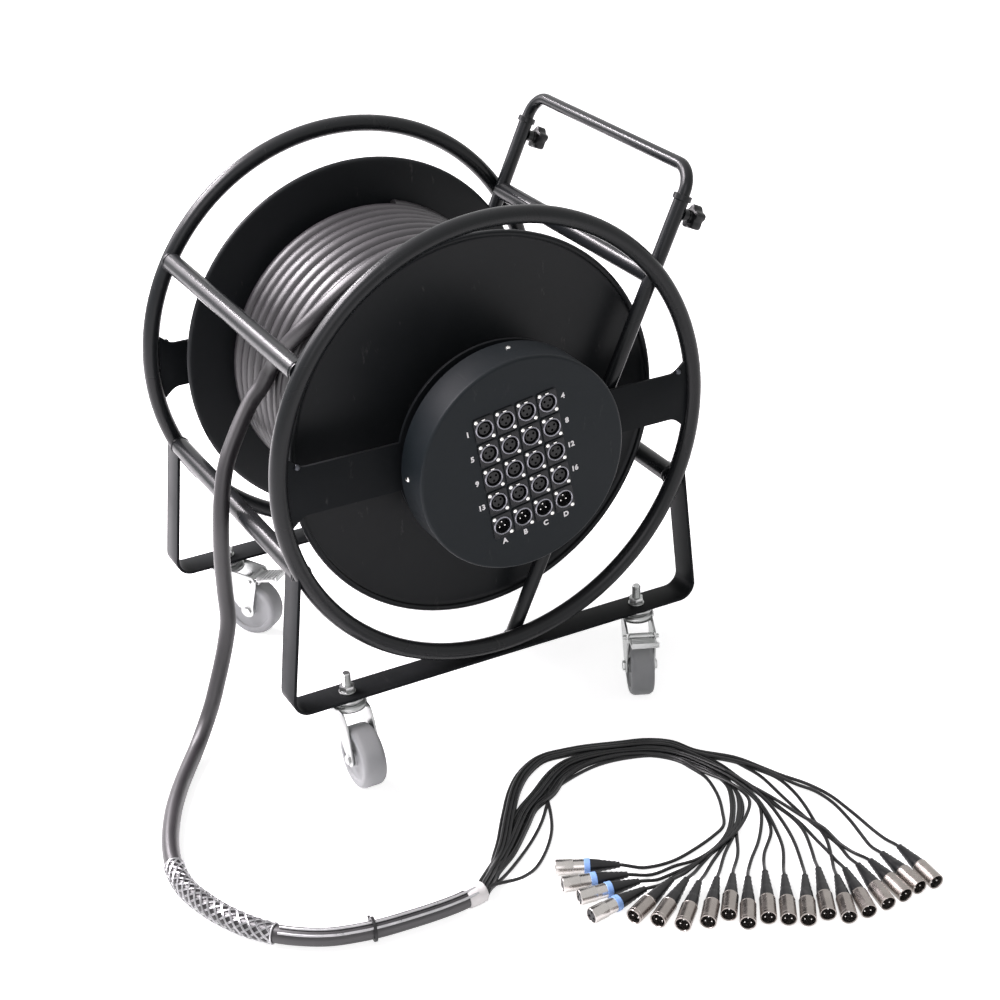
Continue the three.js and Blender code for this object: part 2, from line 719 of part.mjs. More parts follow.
// The fork's side plate, drawn with the trail along the first axis and the drop along the second
function forkPlateShape(braked) {
  const shape = new THREE.Shape();
  const top = -(crownTop + crownBottom) / 2;
  const chamfer = forkEyeRadius * forkChamferShare;
  const shoulder = Math.sqrt(crownRadius ** 2 - forkOutside ** 2);
  shape.moveTo(-shoulder, top);
  shape.lineTo(casterTrail - forkEyeRadius, axleDrop + forkEyeRadius * forkToeShare);
  shape.lineTo(casterTrail - chamfer, axleDrop + forkEyeRadius);
  shape.lineTo(casterTrail + chamfer, axleDrop + forkEyeRadius);
  shape.lineTo(casterTrail + forkEyeRadius, axleDrop);
  if (braked) {
    shape.lineTo(pedalPivotBack + pedalEarRadius, pedalPivotDrop + pedalEarRadius);
    shape.lineTo(pedalPivotBack + pedalEarRadius, pedalPivotDrop - pedalEarRadius * forkChamferShare);
    shape.lineTo(pedalPivotBack, pedalPivotDrop - pedalEarRadius);
  } else {
    shape.lineTo(casterTrail, top + crownRadius);
  }
  shape.lineTo(crownRadius, top);
  shape.closePath();
  return shape;
}

function casterFork(braked) {
  const bore = clearBore(kingpinRadius, runningGap, forkSides);
  const crown = turnedRing([
    [bore, crownBottom],
    [crownRadius, crownBottom],
    [crownRadius, crownTop - crownHeight / 2],
    [raceRadius, crownTop],
    [bore, crownTop],
  ], forkSides).rotateX(Math.PI / 2);
  const plate = new THREE.ExtrudeGeometry(forkPlateShape(braked), { depth: forkPlate, bevelEnabled: false });
  // Extruded along Z, the outline is turned so that trail runs to -Y, drop to -Z and thickness along X
  const turn = new THREE.Matrix4().makeBasis(
    new THREE.Vector3(0, -1, 0), new THREE.Vector3(0, 0, -1), new THREE.Vector3(1, 0, 0),
  );
  plate.applyMatrix4(turn);
  const left = plate.clone().translate(-forkOutside, 0, 0);
  const right = plate.translate(forkInside, 0, 0);
  const axle = turned([
    [0, -forkOutside - axleHeadHeight],
    [axleHeadRadius, -forkOutside - axleHeadHeight],
    [axleHeadRadius, -forkOutside],
    [axleRadius, -forkOutside],
    [axleRadius, forkOutside],
    [axleHeadRadius, forkOutside],
    [axleHeadRadius, forkOutside + axleHeadHeight],
    [0, forkOutside + axleHeadHeight],
  ], axleSides).rotateZ(-Math.PI / 2).translate(0, -casterTrail, -axleDrop);
  const fork = join(crown, left, right, axle);
  if (!braked) return fork;
  const pinHole = clearBore(pedalPinRadius, runningGap, axleSides);
  const hole = new THREE.CylinderGeometry(pinHole, pinHole, 2 * (forkOutside + cutOverrun), axleSides);
  return cut(fork, hole.rotateZ(Math.PI / 2).translate(0, -pedalPivotBack, -pedalPivotDrop));
}

const wheelSides = 14;

function casterWheel() {
  const half = wheelWidth / 2;
  const tread = wheelTreadWidth / 2;
  const recess = half - wheelWebRecess;
  const bore = clearBore(axleRadius, runningGap, axleSides);
  const profile = [
    [0, -recess], [wheelRimRadius, -recess], [wheelRimRadius + wheelWebRecess, -half],
    [wheelRadius - wheelShoulderDrop, -half], [wheelRadius, -tread],
  ];
  const mirrored = profile.map(([r, x]) => [r, -x]).reverse();
  const wheel = turned([...profile, ...mirrored], wheelSides).rotateZ(-Math.PI / 2);
  const hole = new THREE.CylinderGeometry(bore, bore, wheelWidth + cutOverrun, axleSides);
  return cut(wheel, hole.rotateZ(Math.PI / 2));
}

// The pedal is drawn about its own pin, reaching back and a little up
function brakePedal() {
  const barrelHalf = forkInside - forkSideGap;
  const pinEnd = forkOutside + axleHeadHeight;
  const pin = turned([
    [0, -pinEnd],
    [pedalPinRadius, -pinEnd],
    [pedalPinRadius, -barrelHalf],
    [pedalBarrelRadius, -barrelHalf],
    [pedalBarrelRadius, barrelHalf],
    [pedalPinRadius, barrelHalf],
    [pedalPinRadius, pinEnd],
    [0, pinEnd],
  ], axleSides).rotateZ(-Math.PI / 2);
  const neck = new THREE.BoxGeometry(2 * barrelHalf, pedalRootReach + pedalPlate, pedalPlate);
  neck.translate(0, -(pedalRootReach + pedalPlate) / 2, 0);
  const tread = new THREE.BoxGeometry(pedalWidth, pedalReach - pedalRootReach, pedalPlate);
  tread.translate(0, -(pedalReach + pedalRootReach) / 2, 0);
  const lip = new THREE.BoxGeometry(pedalWidth, pedalPlate, pedalLip);
  lip.translate(0, -pedalReach + pedalPlate / 2, pedalLip / 2 - pedalPlate / 2);
  const lift = -radians(pedalLift);
  const plates = [neck, tread, lip].map((piece) => piece.rotateX(lift));
  const shoe = new THREE.BoxGeometry(pedalShoeWidth, pedalShoeReach, pedalShoeDrop);
  shoe.translate(0, -pedalShoeReach / 2, -pedalShoeDrop / 2);
  return join(pin, ...plates, shoe);
}

const casters = [
  { name: 'caster_front_left', x: -casterX, y: frontFootY, turn: 0, braked: false },
  { name: 'caster_front_right', x: casterX, y: frontFootY, turn: -24, braked: true },
  { name: 'caster_rear_left', x: -casterX, y: rearFootY, turn: 38, braked: true },
  { name: 'caster_rear_right', x: casterX, y: rearFootY, turn: 14, braked: false },
];

for (const { name, x, y, turn, braked } of casters) {
  const caster = new THREE.Group();
  caster.position.set(x, y, footUnderside - seatGap);
  const swivel = new THREE.Group();
  swivel.rotation.z = radians(turn);
  caster.add(swivel);
  reel.add(caster);
  addNode(`${name}_stem`, casterStem(), finish.zinc, caster);
  addNode(`${name}_fork`, casterFork(braked), finish.zinc, swivel);
  const wheel = addNode(`${name}_wheel`, casterWheel(), finish.wheelGrey, swivel);
  wheel.position.set(0, -casterTrail, -axleDrop);
  if (!braked) continue;
  const pedal = addNode(`${name}_pedal`, brakePedal(), finish.zinc, swivel);
  pedal.position.set(0, -pedalPivotBack, -pedalPivotDrop);
}

// Shaft with thrust collars, and the two flanged bearings it runs in
const shaftSides = 12;
const bearingFrontY = halfBar + seatGap;
const bearingRearY = hoopSpacing - halfBar - seatGap;
const collarFrontY = bearingFrontY + bearingDepth + runningGap;
const collarRearY = bearingRearY - bearingDepth - runningGap;
const shaftFrontY = boxBackY - boxBackThickness - boxBackNeckDepth;
const shaftRearY = hoopSpacing + shaftRearStub;

const shaftTube = turnedRing([
  [shaftBoreRadius, shaftFrontY],
  [shaftRadius, shaftFrontY],
  [shaftRadius, collarFrontY],
  [shaftCollarRadius, collarFrontY],
  [shaftCollarRadius, collarFrontY + shaftCollarLength],
  [shaftRadius, collarFrontY + shaftCollarLength],
  [shaftRadius, collarRearY - shaftCollarLength],
  [shaftCollarRadius, collarRearY - shaftCollarLength],
  [shaftCollarRadius, collarRearY],
  [shaftRadius, collarRearY],
  [shaftRadius, shaftRearY],
  [shaftBoreRadius, shaftRearY],
], shaftSides);

// The box's back plate is welded to the shaft's front end, with a neck behind the weld
const boxSides = 32;
const boxBackSides = 24;
const boxBackRadius = (boxRadius - boxWall) * Math.cos(Math.PI / boxSides) - seatGap;
const weldRadius = (shaftRadius + shaftBoreRadius) / 2;
const boxBack = turnedRing([
  [weldRadius, shaftFrontY],
  [boxBackNeckRadius, shaftFrontY],
  [boxBackNeckRadius, boxBackY - boxBackThickness],
  [boxBackRadius, boxBackY - boxBackThickness],
  [boxBackRadius, boxBackY],
  [weldRadius, boxBackY],
], boxBackSides);
addNode('drum_shaft', join(shaftTube, boxBack), finish.bearingSteel);

// A bearing's profile runs from its face on the crossbar inwards; its spigot sits in the crossbar's bore
function bearingAt(seatY, inward) {
  const bore = clearBore(shaftRadius, runningGap, bearingSides);
  const at = (depth) => seatY + inward * depth;
  return turnedRing([
    [bore, at(-crossbarThickness)],
    [bearingSpigotRadius, at(-crossbarThickness)],
    [bearingSpigotRadius, at(0)],
    [bearingRadius, at(0)],
    [bearingRadius, at(bearingDepth / 2)],
    [bearingRadius * Math.cos(Math.PI / 6), at(bearingDepth)],
    [bore, at(bearingDepth)],
  ], bearingSides);
}

addNode('bearing_front', bearingAt(bearingFrontY, 1), finish.bearingSteel);
addNode('bearing_rear', bearingAt(bearingRearY, -1), finish.bearingSteel);

// Drum flanges: sheet discs with a rolled bead round the edge and a boss on the shaft
const flangeSides = 30;

function flangeAt(centreY, outward) {
  const at = (depth) => centreY + outward * depth;
  const half = flangeThickness / 2;
  const bore = clearBore(shaftRadius, seatGap, flangeSides);
  const beadY = flangeBeadRadius - half;
  return turnedRing([
    [bore, at(-half)],
    [flangeRadius - flangeBeadRadius, at(-half)],
    [flangeRadius, at(beadY)],
    [flangeRadius - flangeBeadRadius, at(beadY + flangeBeadRadius)],
    [flangeRadius - 2 * flangeBeadRadius, at(half)],
    [flangeBossRadius, at(half)],
    [flangeBossRadius - flangeBossDepth, at(half + flangeBossDepth)],
    [bore, at(half + flangeBossDepth)],
  ], flangeSides);
}

// The barrel is welded to the rear flange and meets the front one; plain inner layers of cable lie on it
const barrelFrontY = frontFlangeY + flangeThickness / 2 + seatGap;
const barrelRearY = rearFlangeY - flangeThickness / 2 - seatGap;

function sleeveOnDrum(innerRadius, outerRadius, rearY) {
  return turnedRing([
    [innerRadius, barrelFrontY],
    [outerRadius, barrelFrontY],
    [outerRadius, rearY],
    [innerRadius, rearY],
  ], windingSteps);
}

const chordDip = Math.cos(Math.PI / windingSteps);
const innerLayersRadius = windingRadius * chordDip - cableRadius - seatGap;
const barrel = sleeveOnDrum(barrelRadius - barrelWall, barrelRadius, rearFlangeY);
const innerLayers = sleeveOnDrum(barrelRadius + seatGap, innerLayersRadius, barrelRearY);
addNode('flange_front', flangeAt(frontFlangeY, -1), finish.drumBlack);
addNode('flange_rear', join(flangeAt(rearFlangeY, 1), barrel), finish.drumBlack);
addNode('inner_cable_layers', innerLayers, finish.cableBlack);

// Outer layer of the wound cable: one unbroken tube from flange to flange, its ends run straight
const windingFrontY = barrelFrontY + cableRadius;
const windingRearY = barrelRearY - cableRadius;
const windingPitch = (windingRearY - windingFrontY) / windingTurns;

function windingPath() {
  const stations = [];
  const tangents = [];
  const count = windingTurns * windingSteps;
  for (let i = 0; i <= count; i += 1) {
    const turn = radians(windingStartAngle) + (i / windingSteps) * Math.PI * 2;
    const place = windingFrontY + (i / windingSteps) * windingPitch;
    stations.push(new THREE.Vector3(windingRadius * Math.cos(turn), place, windingRadius * Math.sin(turn)));
    tangents.push(new THREE.Vector3(-Math.sin(turn), 0, Math.cos(turn)));
  }
  const run = 2 * cableRadius;
  stations.unshift(stations[0].clone().addScaledVector(tangents[0], -run));
  tangents.unshift(tangents[0].clone());
  stations.push(stations[stations.length - 1].clone().addScaledVector(tangents[tangents.length - 1], run));
  tangents.push(tangents[tangents.length - 1].clone());
  return new StationPath(stations, tangents);
}

// Least gap between one turn and another, measured between stations at least half a turn apart
function leastSelfGap(path, radius, apart) {
  let least = Infinity;
  path.stations.forEach((a, i) => {
    path.stations.slice(i + apart).forEach((b) => {
      least = Math.min(least, a.distanceTo(b) - 2 * radius);
    });
  });
  return least;
}

const winding = windingPath();
const turnGap = leastSelfGap(winding, cableRadius, windingSteps / 2);
console.log(`least gap between turns ${turnGap.toFixed(2)} mm, at least ${leastTurnGap} mm wanted`);
addNode('winding', sweep(winding, cableRadius, windingSides), finish.cableBlack);

// Socket box: a round pan whose face holds the sockets, closed behind by the plate on the shaft
function boxPan() {
  return turned([
    [0, boxFrontY],
    [boxRadius - boxEdge, boxFrontY],
    [boxRadius, boxFrontY + boxEdge],
    [boxRadius, boxBackY],
    [boxRadius - boxWall, boxBackY],
    [boxRadius - boxWall, boxFrontY + boxFace + boxEdge],
    [boxRadius - boxEdge, boxFrontY + boxFace],
    [0, boxFrontY + boxFace],
  ], boxSides);
}

// Places of the sockets in the box's own frame, by row from the top and column from the left
function socketPlaces(firstRow, rows) {
  const middleRow = (femaleRows + maleRows - 1) / 2;
  const middleColumn = (socketColumns - 1) / 2;
  return Array.from({ length: rows * socketColumns }, (_, i) => {
    const row = firstRow + Math.floor(i / socketColumns);
    const column = i % socketColumns;
    return [(column - middleColumn) * socketPitchX, (middleRow - row) * socketPitchZ];
  });
}

const femalePlaces = socketPlaces(0, femaleRows);
const malePlaces = socketPlaces(femaleRows, maleRows);
const socketRimRadius = (socketBodyRadius + socketMouthRadius) / 2;
const boxCover = cut(boxPan(), ...[...femalePlaces, ...malePlaces].map(([x, z]) => {
  const hole = new THREE.CylinderGeometry(socketRimRadius, socketRimRadius, 2 * cutOverrun, socketSides);
  return hole.translate(x, boxFrontY, z);
}));

// A socket's body is turned; its flange is let into the face it is fixed to
function socketBody(profile) {
  const w = socketFlangeWidth / 2;
  const h = socketFlangeHeight / 2;
  const corners = [[w, -h], [w, h], [-w, h], [-w, -h]];
  const shape = new THREE.Shape(corners.map(([x, z]) => new THREE.Vector2(x, z)));
  shape.holes.push(new THREE.Path(circleShape(socketRimRadius, socketSides).getPoints()));
  const flangeY = boxFrontY - socketFlangeThickness;
  const flange = wallAcrossY(shape, flangeY, socketFlangeThickness + boxFace / 2);
  return join(turned(profile, socketSides), flange);
}

const mouthY = boxFrontY - socketFlangeThickness;
const mouthFloorY = mouthY + socketMouthDepth;
const socketBackY = mouthY + socketBodyDepth;
const socketOuter = [
  [socketMouthRadius, mouthY], [socketBodyRadius, mouthY], [socketBodyRadius, socketBackY], [0, socketBackY],
];

function femaleSocket() {
  return socketBody([
    [0, mouthY + socketInsertSink],
    [socketInsertRadius, mouthY + socketInsertSink],
    [socketInsertRadius, mouthFloorY],
    [socketMouthRadius, mouthFloorY],
    ...socketOuter,
  ]);
}

function contactsAt(circleRadius, floorY, length) {
  return [-1, 0, 1].map((k) => {
    const turn = radians(90) + (k * Math.PI * 2) / 3;
    const pin = new THREE.CylinderGeometry(contactRadius, contactRadius, length + seatGap, contactSides);
    const place = floorY + (seatGap - length) / 2;
    return pin.translate(circleRadius * Math.cos(turn), place, -circleRadius * Math.sin(turn));
  });
}

function maleSocket() {
  const cup = socketBody([[0, mouthFloorY], [socketMouthRadius, mouthFloorY], ...socketOuter]);
  return join(cup, ...contactsAt(contactCircleRadius, mouthFloorY, contactLength));
}

function spread(geometry, places) {
  return places.map(([x, z]) => geometry.clone().translate(x, 0, z));
}

const box = new THREE.Group();
box.rotation.y = -radians(boxTurn);
reel.add(box);
const sockets = [...spread(femaleSocket(), femalePlaces), ...spread(maleSocket(), malePlaces)];
addNode('box_shell', join(boxCover, ...sockets), finish.boxBlack, box);

// Free cable from the drum to the breakout, and the woven wire grip on it
const cablePath = routePath(cableRoute, cableSteps);
addNode('main_cable', sweep(cablePath, cableRadius, cableSides), finish.cableBlack);

const gripPath = new StationPath(
  cablePath.stations.slice(gripFirstStep, gripLastStep + 1),
  cablePath.tangents.slice(gripFirstStep, gripLastStep + 1),
);
const gripBore = clearBore(cableRadius, seatGap, cableSides);
addNode('cable_grip', cut(
  sweep(gripPath, gripBore + gripWall, cableSides),
  sweep(longer(gripPath, cutOverrun), gripBore, cableSides),
), finish.wire);

// The same path with both ends drawn out straight
function longer(path, run) {
  const { stations, tangents } = path;
  const last = stations.length - 1;
  return new StationPath([
    stations[0].clone().addScaledVector(tangents[0], -run),
    ...stations,
    stations[last].clone().addScaledVector(tangents[last], run),
  ], [tangents[0], ...tangents, tangents[last]]);
}

// Tails: a bundle over the ground that opens into one thin cord for each plug
const bundleZ = cableRoute.at(-1)[2];
const branchZ = groundZ + branchLift + branchRadius;
const tailZ = groundZ + tailLift + tailRadius;
const plugZ = groundZ + seatGap + plugShellRadius;

// Points of a tail that reaches its boot straight and at the plug's own height
function tailPoints({ tip, boot, tail }) {
  const end = new THREE.Vector3(...boot, plugZ);
  const outward = end.clone().sub(new THREE.Vector3(...tip, plugZ)).normalize();
  const face = end.clone().addScaledVector(outward, seatGap);
  const entry = end.clone().addScaledVector(outward, tailEntry);
  return [...tail.map(([x, y]) => [x, y, tailZ]), entry.toArray(), face.toArray()];
}

const bundlePath = routePath(bundleRoute.map(([x, y]) => [x, y, bundleZ]), bundleSteps);
const branches = branchRoutes.map((route) => {
  const path = routePath(route.map(([x, y]) => [x, y, branchZ]), branchSteps);
  return sweep(path, branchRadius, tailSides);
});
const tails = plugRoutes.map((route) => {
  const points = tailPoints(route);
  return sweep(routePath(points, points.length - 1), tailRadius, tailSides);
});
const bundle = sweep(bundlePath, bundleRadius, tailSides);
addNode('tail_loom', join(bundle, ...branches, ...tails), finish.tailBlack);

// Plugs: drawn along Y from the tip, then laid on the ground between tip and boot end
function plugProfile(length, female) {
  const mouth = [[plugMouthRadius, plugMouthDepth], [plugMouthRadius, 0], [plugShellRadius, 0]];
  const boot = [[plugBootEndRadius, length], [0, length]];
  if (!female) {
    const shellEnd = [[plugShellRadius, plugShellLength], [plugBootRadius, plugShellLength]];
    return [[0, plugMouthDepth], ...mouth, ...shellEnd, ...boot];
  }
  return [
    [0, plugInsertSink], [plugInsertRadius, plugInsertSink], [plugInsertRadius, plugMouthDepth], ...mouth,
    [plugShellRadius, plugGrooveFrom], [plugGrooveRadius, plugGrooveFrom],
    [plugGrooveRadius, plugShellLength], [plugRingRadius, plugShellLength],
    [plugRingRadius, plugShellLength + plugRingLength], ...boot,
  ];
}

plugRoutes.forEach(({ tip, boot }, i) => {
  const female = i < femalePlugs;
  const from = new THREE.Vector3(...tip, plugZ);
  const along = new THREE.Vector3(...boot, plugZ).sub(from);
  const shell = turned(plugProfile(along.length(), female), plugSides);
  const contacts = female ? [] : contactsAt(contactCircleRadius, plugMouthDepth, contactLength);
  const plug = join(shell, ...contacts);
  const kind = female ? 'female' : 'male';
  const number = String(i + 1).padStart(2, '0');
  const mesh = addNode(`plug_${number}_${kind}`, plug, finish.plugNickel);
  mesh.position.copy(from);
  mesh.quaternion.setFromUnitVectors(new THREE.Vector3(0, 1, 0), along.normalize());
});

// The part stands on the ground, centred under its rigid pieces, without the free cable and what is on it
const cordNodes = /^(main_cable|cable_grip|tail_loom|plug_)/;
reel.updateMatrixWorld(true);
const bounds = new THREE.Box3();
reel.traverse((item) => {
  if (item.isMesh && !cordNodes.test(item.name)) bounds.expandByObject(item, true);
});
const centre = bounds.getCenter(new THREE.Vector3());
reel.position.set(-centre.x, -centre.y, -bounds.min.z);

const part = new THREE.Group();
part.add(reel);
export default part;
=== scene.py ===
"""Looks of a wheeled stage box snake: a cable drum in a hooped frame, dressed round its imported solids."""
import json
import logging
import math
import random
from dataclasses import dataclass, field
from enum import Enum
from typing import Iterable, Optional, Sequence

import bmesh
import bpy
from mathutils import Matrix, Vector

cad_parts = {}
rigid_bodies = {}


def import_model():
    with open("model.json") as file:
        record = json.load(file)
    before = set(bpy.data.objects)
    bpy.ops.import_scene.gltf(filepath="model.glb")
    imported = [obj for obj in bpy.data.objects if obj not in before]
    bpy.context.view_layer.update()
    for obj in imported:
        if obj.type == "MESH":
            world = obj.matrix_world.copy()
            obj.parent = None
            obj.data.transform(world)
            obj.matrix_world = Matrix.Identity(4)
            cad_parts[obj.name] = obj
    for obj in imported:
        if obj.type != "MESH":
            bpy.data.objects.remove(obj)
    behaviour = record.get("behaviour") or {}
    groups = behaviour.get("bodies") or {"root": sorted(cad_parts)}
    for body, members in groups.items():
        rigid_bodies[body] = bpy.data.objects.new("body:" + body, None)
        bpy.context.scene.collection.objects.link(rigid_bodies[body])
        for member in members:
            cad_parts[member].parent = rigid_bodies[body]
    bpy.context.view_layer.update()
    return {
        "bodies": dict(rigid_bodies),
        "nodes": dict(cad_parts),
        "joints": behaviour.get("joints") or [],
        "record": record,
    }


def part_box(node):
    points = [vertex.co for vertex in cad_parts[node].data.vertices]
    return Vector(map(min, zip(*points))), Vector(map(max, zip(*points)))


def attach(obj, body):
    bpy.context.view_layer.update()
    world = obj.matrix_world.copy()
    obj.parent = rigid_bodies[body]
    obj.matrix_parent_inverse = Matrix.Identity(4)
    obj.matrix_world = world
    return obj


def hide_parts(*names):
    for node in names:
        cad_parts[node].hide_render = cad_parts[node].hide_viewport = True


LOG = logging.getLogger("stage_box_snake")
MM = 0.001
FULL_TURN = 2 * math.pi
GOLDEN_ANGLE = 2.39996
UP = Vector((0.0, 0.0, 1.0))
Point = Sequence[float]
Outline = list[tuple[float, float]]


class Body(Enum):
    """Moving bodies of the part."""

    FRAME = "frame"
    HANDLE = "handle"
    KNOB_FRONT = "knob_front"
    KNOB_REAR = "knob_rear"
    DRUM = "drum"


FIXED = Body.FRAME.value


class Slot(Enum):
    """Material slots of the record."""

    FRAME_BLACK = "frame_black"
    DRUM_BLACK = "drum_black"
    BOX_BLACK = "box_black"
    ZINC = "zinc"
    WHEEL_GREY = "wheel_grey"
    KNOB_BLACK = "knob_black"
    CABLE_BLACK = "cable_black"
    TAIL_BLACK = "tail_black"
    SHAFT_STEEL = "shaft_steel"
    PLUG_NICKEL = "plug_nickel"
    GRIP_WIRE = "grip_wire"


@dataclass
class Layout:
    """Places shared by the sub-assemblies, in millimetres about the axle in the front hoop's plane."""

    axle: Vector = field(default_factory=lambda: Vector((0.0, 0.0, 0.0)))
    hoop_radius: float = 283.0
    hoop_tube: float = 11.0
    hoop_spacing: float = 427.6
    foot_top: float = -294.3
    foot_under: float = -298.3
    ground: float = -406.6
    sleeve_lean: float = 24.56
    sleeve_foot_x: float = 26.0
    sleeve_y: float = 20.8
    sleeve_length: float = 603.6

    def metres(self, point: Point) -> Vector:
        """Returns a point about the axle as a point of the row's frame, in metres."""
        return self.axle + Vector(point) * MM

    def sleeve_aim(self) -> Vector:
        """Returns the direction in which the sleeves rise."""
        lean = math.radians(self.sleeve_lean)
        return Vector((math.sin(lean), 0.0, math.cos(lean)))

    def sleeve_places(self) -> tuple[float, float]:
        """Returns the place along Y of the front and the rear sleeve."""
        return self.sleeve_y, self.hoop_spacing - self.sleeve_y

    def along_sleeve(self, y: float, along: float) -> Vector:
        """Returns the point on a sleeve's axis at a distance from its foot."""
        return Vector((self.sleeve_foot_x, y, self.foot_top)) + self.sleeve_aim() * along


LAYOUT = Layout()


# Node groups that several finishes share

SCRATCH_SPAN = (0.62, 0.74)
UPWARD_SPAN = (0.35, 1.0)
BLOTCH_SPAN = (0.3, 0.7)


def add_node(tree: bpy.types.NodeTree, kind: str, **values: object) -> bpy.types.Node:
    """Adds a node and sets its properties or its inputs by name.

    Args:
        tree: The node tree that takes the node.
        kind: The node's Blender type.
        values: Property names, or input names with underscores for blanks.

    Returns:
        The new node.
    """
    node = tree.nodes.new(kind)
    for name, value in values.items():
        if hasattr(node, name):
            setattr(node, name, value)
        else:
            node.inputs[name.replace("_", " ")].default_value = value
    return node


def new_group(name: str, takes: dict[str, float], gives: Iterable[str]) -> tuple:
    """Makes an empty shader node group with a vector input, number inputs and number outputs.

    Args:
        name: The group's name.
        takes: Number inputs and their defaults.
        gives: Names of the number outputs.

    Returns:
        The group's tree, its input node and its output node.
    """
    tree = bpy.data.node_groups.new(name, "ShaderNodeTree")
    tree.interface.new_socket("Vector", in_out="INPUT", socket_type="NodeSocketVector")
    for label, default in takes.items():
        socket = tree.interface.new_socket(label, in_out="INPUT", socket_type="NodeSocketFloat")
        socket.default_value = default
    for label in gives:
        tree.interface.new_socket(label, in_out="OUTPUT", socket_type="NodeSocketFloat")
    return tree, tree.nodes.new("NodeGroupInput"), tree.nodes.new("NodeGroupOutput")


def coating_group() -> bpy.types.NodeTree:
    """Makes the group for sprayed and moulded skins: blotches, fine grain and thin scratches.

    Returns:
        The group's tree, made once.
    """
    name = "Coating"
    if name in bpy.data.node_groups:
        return bpy.data.node_groups[name]
    takes = {"Blotch Scale": 8.0, "Grain Scale": 900.0, "Scratch Scale": 60.0}
    tree, given, made = new_group(name, takes, ("Blotch", "Grain", "Scratch"))
    link = tree.links.new
    blotch = add_node(tree, "ShaderNodeTexNoise", Detail=4.0, Roughness=0.6)
    grain = add_node(tree, "ShaderNodeTexNoise", Detail=2.0, Roughness=0.5)
    stretch = add_node(tree, "ShaderNodeMapping", Scale=(1.0, 0.12, 0.35), Rotation=(0.4, 0.2, 0.9))
    scratch = add_node(tree, "ShaderNodeTexNoise", Detail=6.0, Roughness=0.7)
    thin = add_node(tree, "ShaderNodeMapRange", interpolation_type="SMOOTHSTEP",
                    From_Min=SCRATCH_SPAN[0], From_Max=SCRATCH_SPAN[1])
    for node, scale in ((blotch, "Blotch Scale"), (grain, "Grain Scale"), (scratch, "Scratch Scale")):
        link(given.outputs[scale], node.inputs["Scale"])
    for node in (blotch, grain, stretch):
        link(given.outputs["Vector"], node.inputs["Vector"])
    link(stretch.outputs["Vector"], scratch.inputs["Vector"])
    link(scratch.outputs["Fac"], thin.inputs["Value"])
    link(blotch.outputs["Fac"], made.inputs["Blotch"])
    link(grain.outputs["Fac"], made.inputs["Grain"])
    link(thin.outputs["Result"], made.inputs["Scratch"])
    return tree


def dust_group() -> bpy.types.NodeTree:
    """Makes the group for dust that settles on surfaces that face up, thicker in patches.

    Returns:
        The group's tree, made once.
    """
    name = "Settled Dust"
    if name in bpy.data.node_groups:
        return bpy.data.node_groups[name]
    tree, given, made = new_group(name, {"Patch Scale": 14.0}, ("Dust",))
    link = tree.links.new
    shape = add_node(tree, "ShaderNodeNewGeometry")
    split = add_node(tree, "ShaderNodeSeparateXYZ")
    upward = add_node(tree, "ShaderNodeMapRange", interpolation_type="SMOOTHSTEP",
                      From_Min=UPWARD_SPAN[0], From_Max=UPWARD_SPAN[1])
    patch = add_node(tree, "ShaderNodeTexNoise", Detail=5.0, Roughness=0.65)
    both = add_node(tree, "ShaderNodeMath", operation="MULTIPLY")
    link(shape.outputs["Normal"], split.inputs["Vector"])
    link(split.outputs["Z"], upward.inputs["Value"])
    link(given.outputs["Vector"], patch.inputs["Vector"])
    link(given.outputs["Patch Scale"], patch.inputs["Scale"])
    link(upward.outputs["Result"], both.inputs[0])
    link(patch.outputs["Fac"], both.inputs[1])
    link(both.outputs["Value"], made.inputs["Dust"])
    return tree


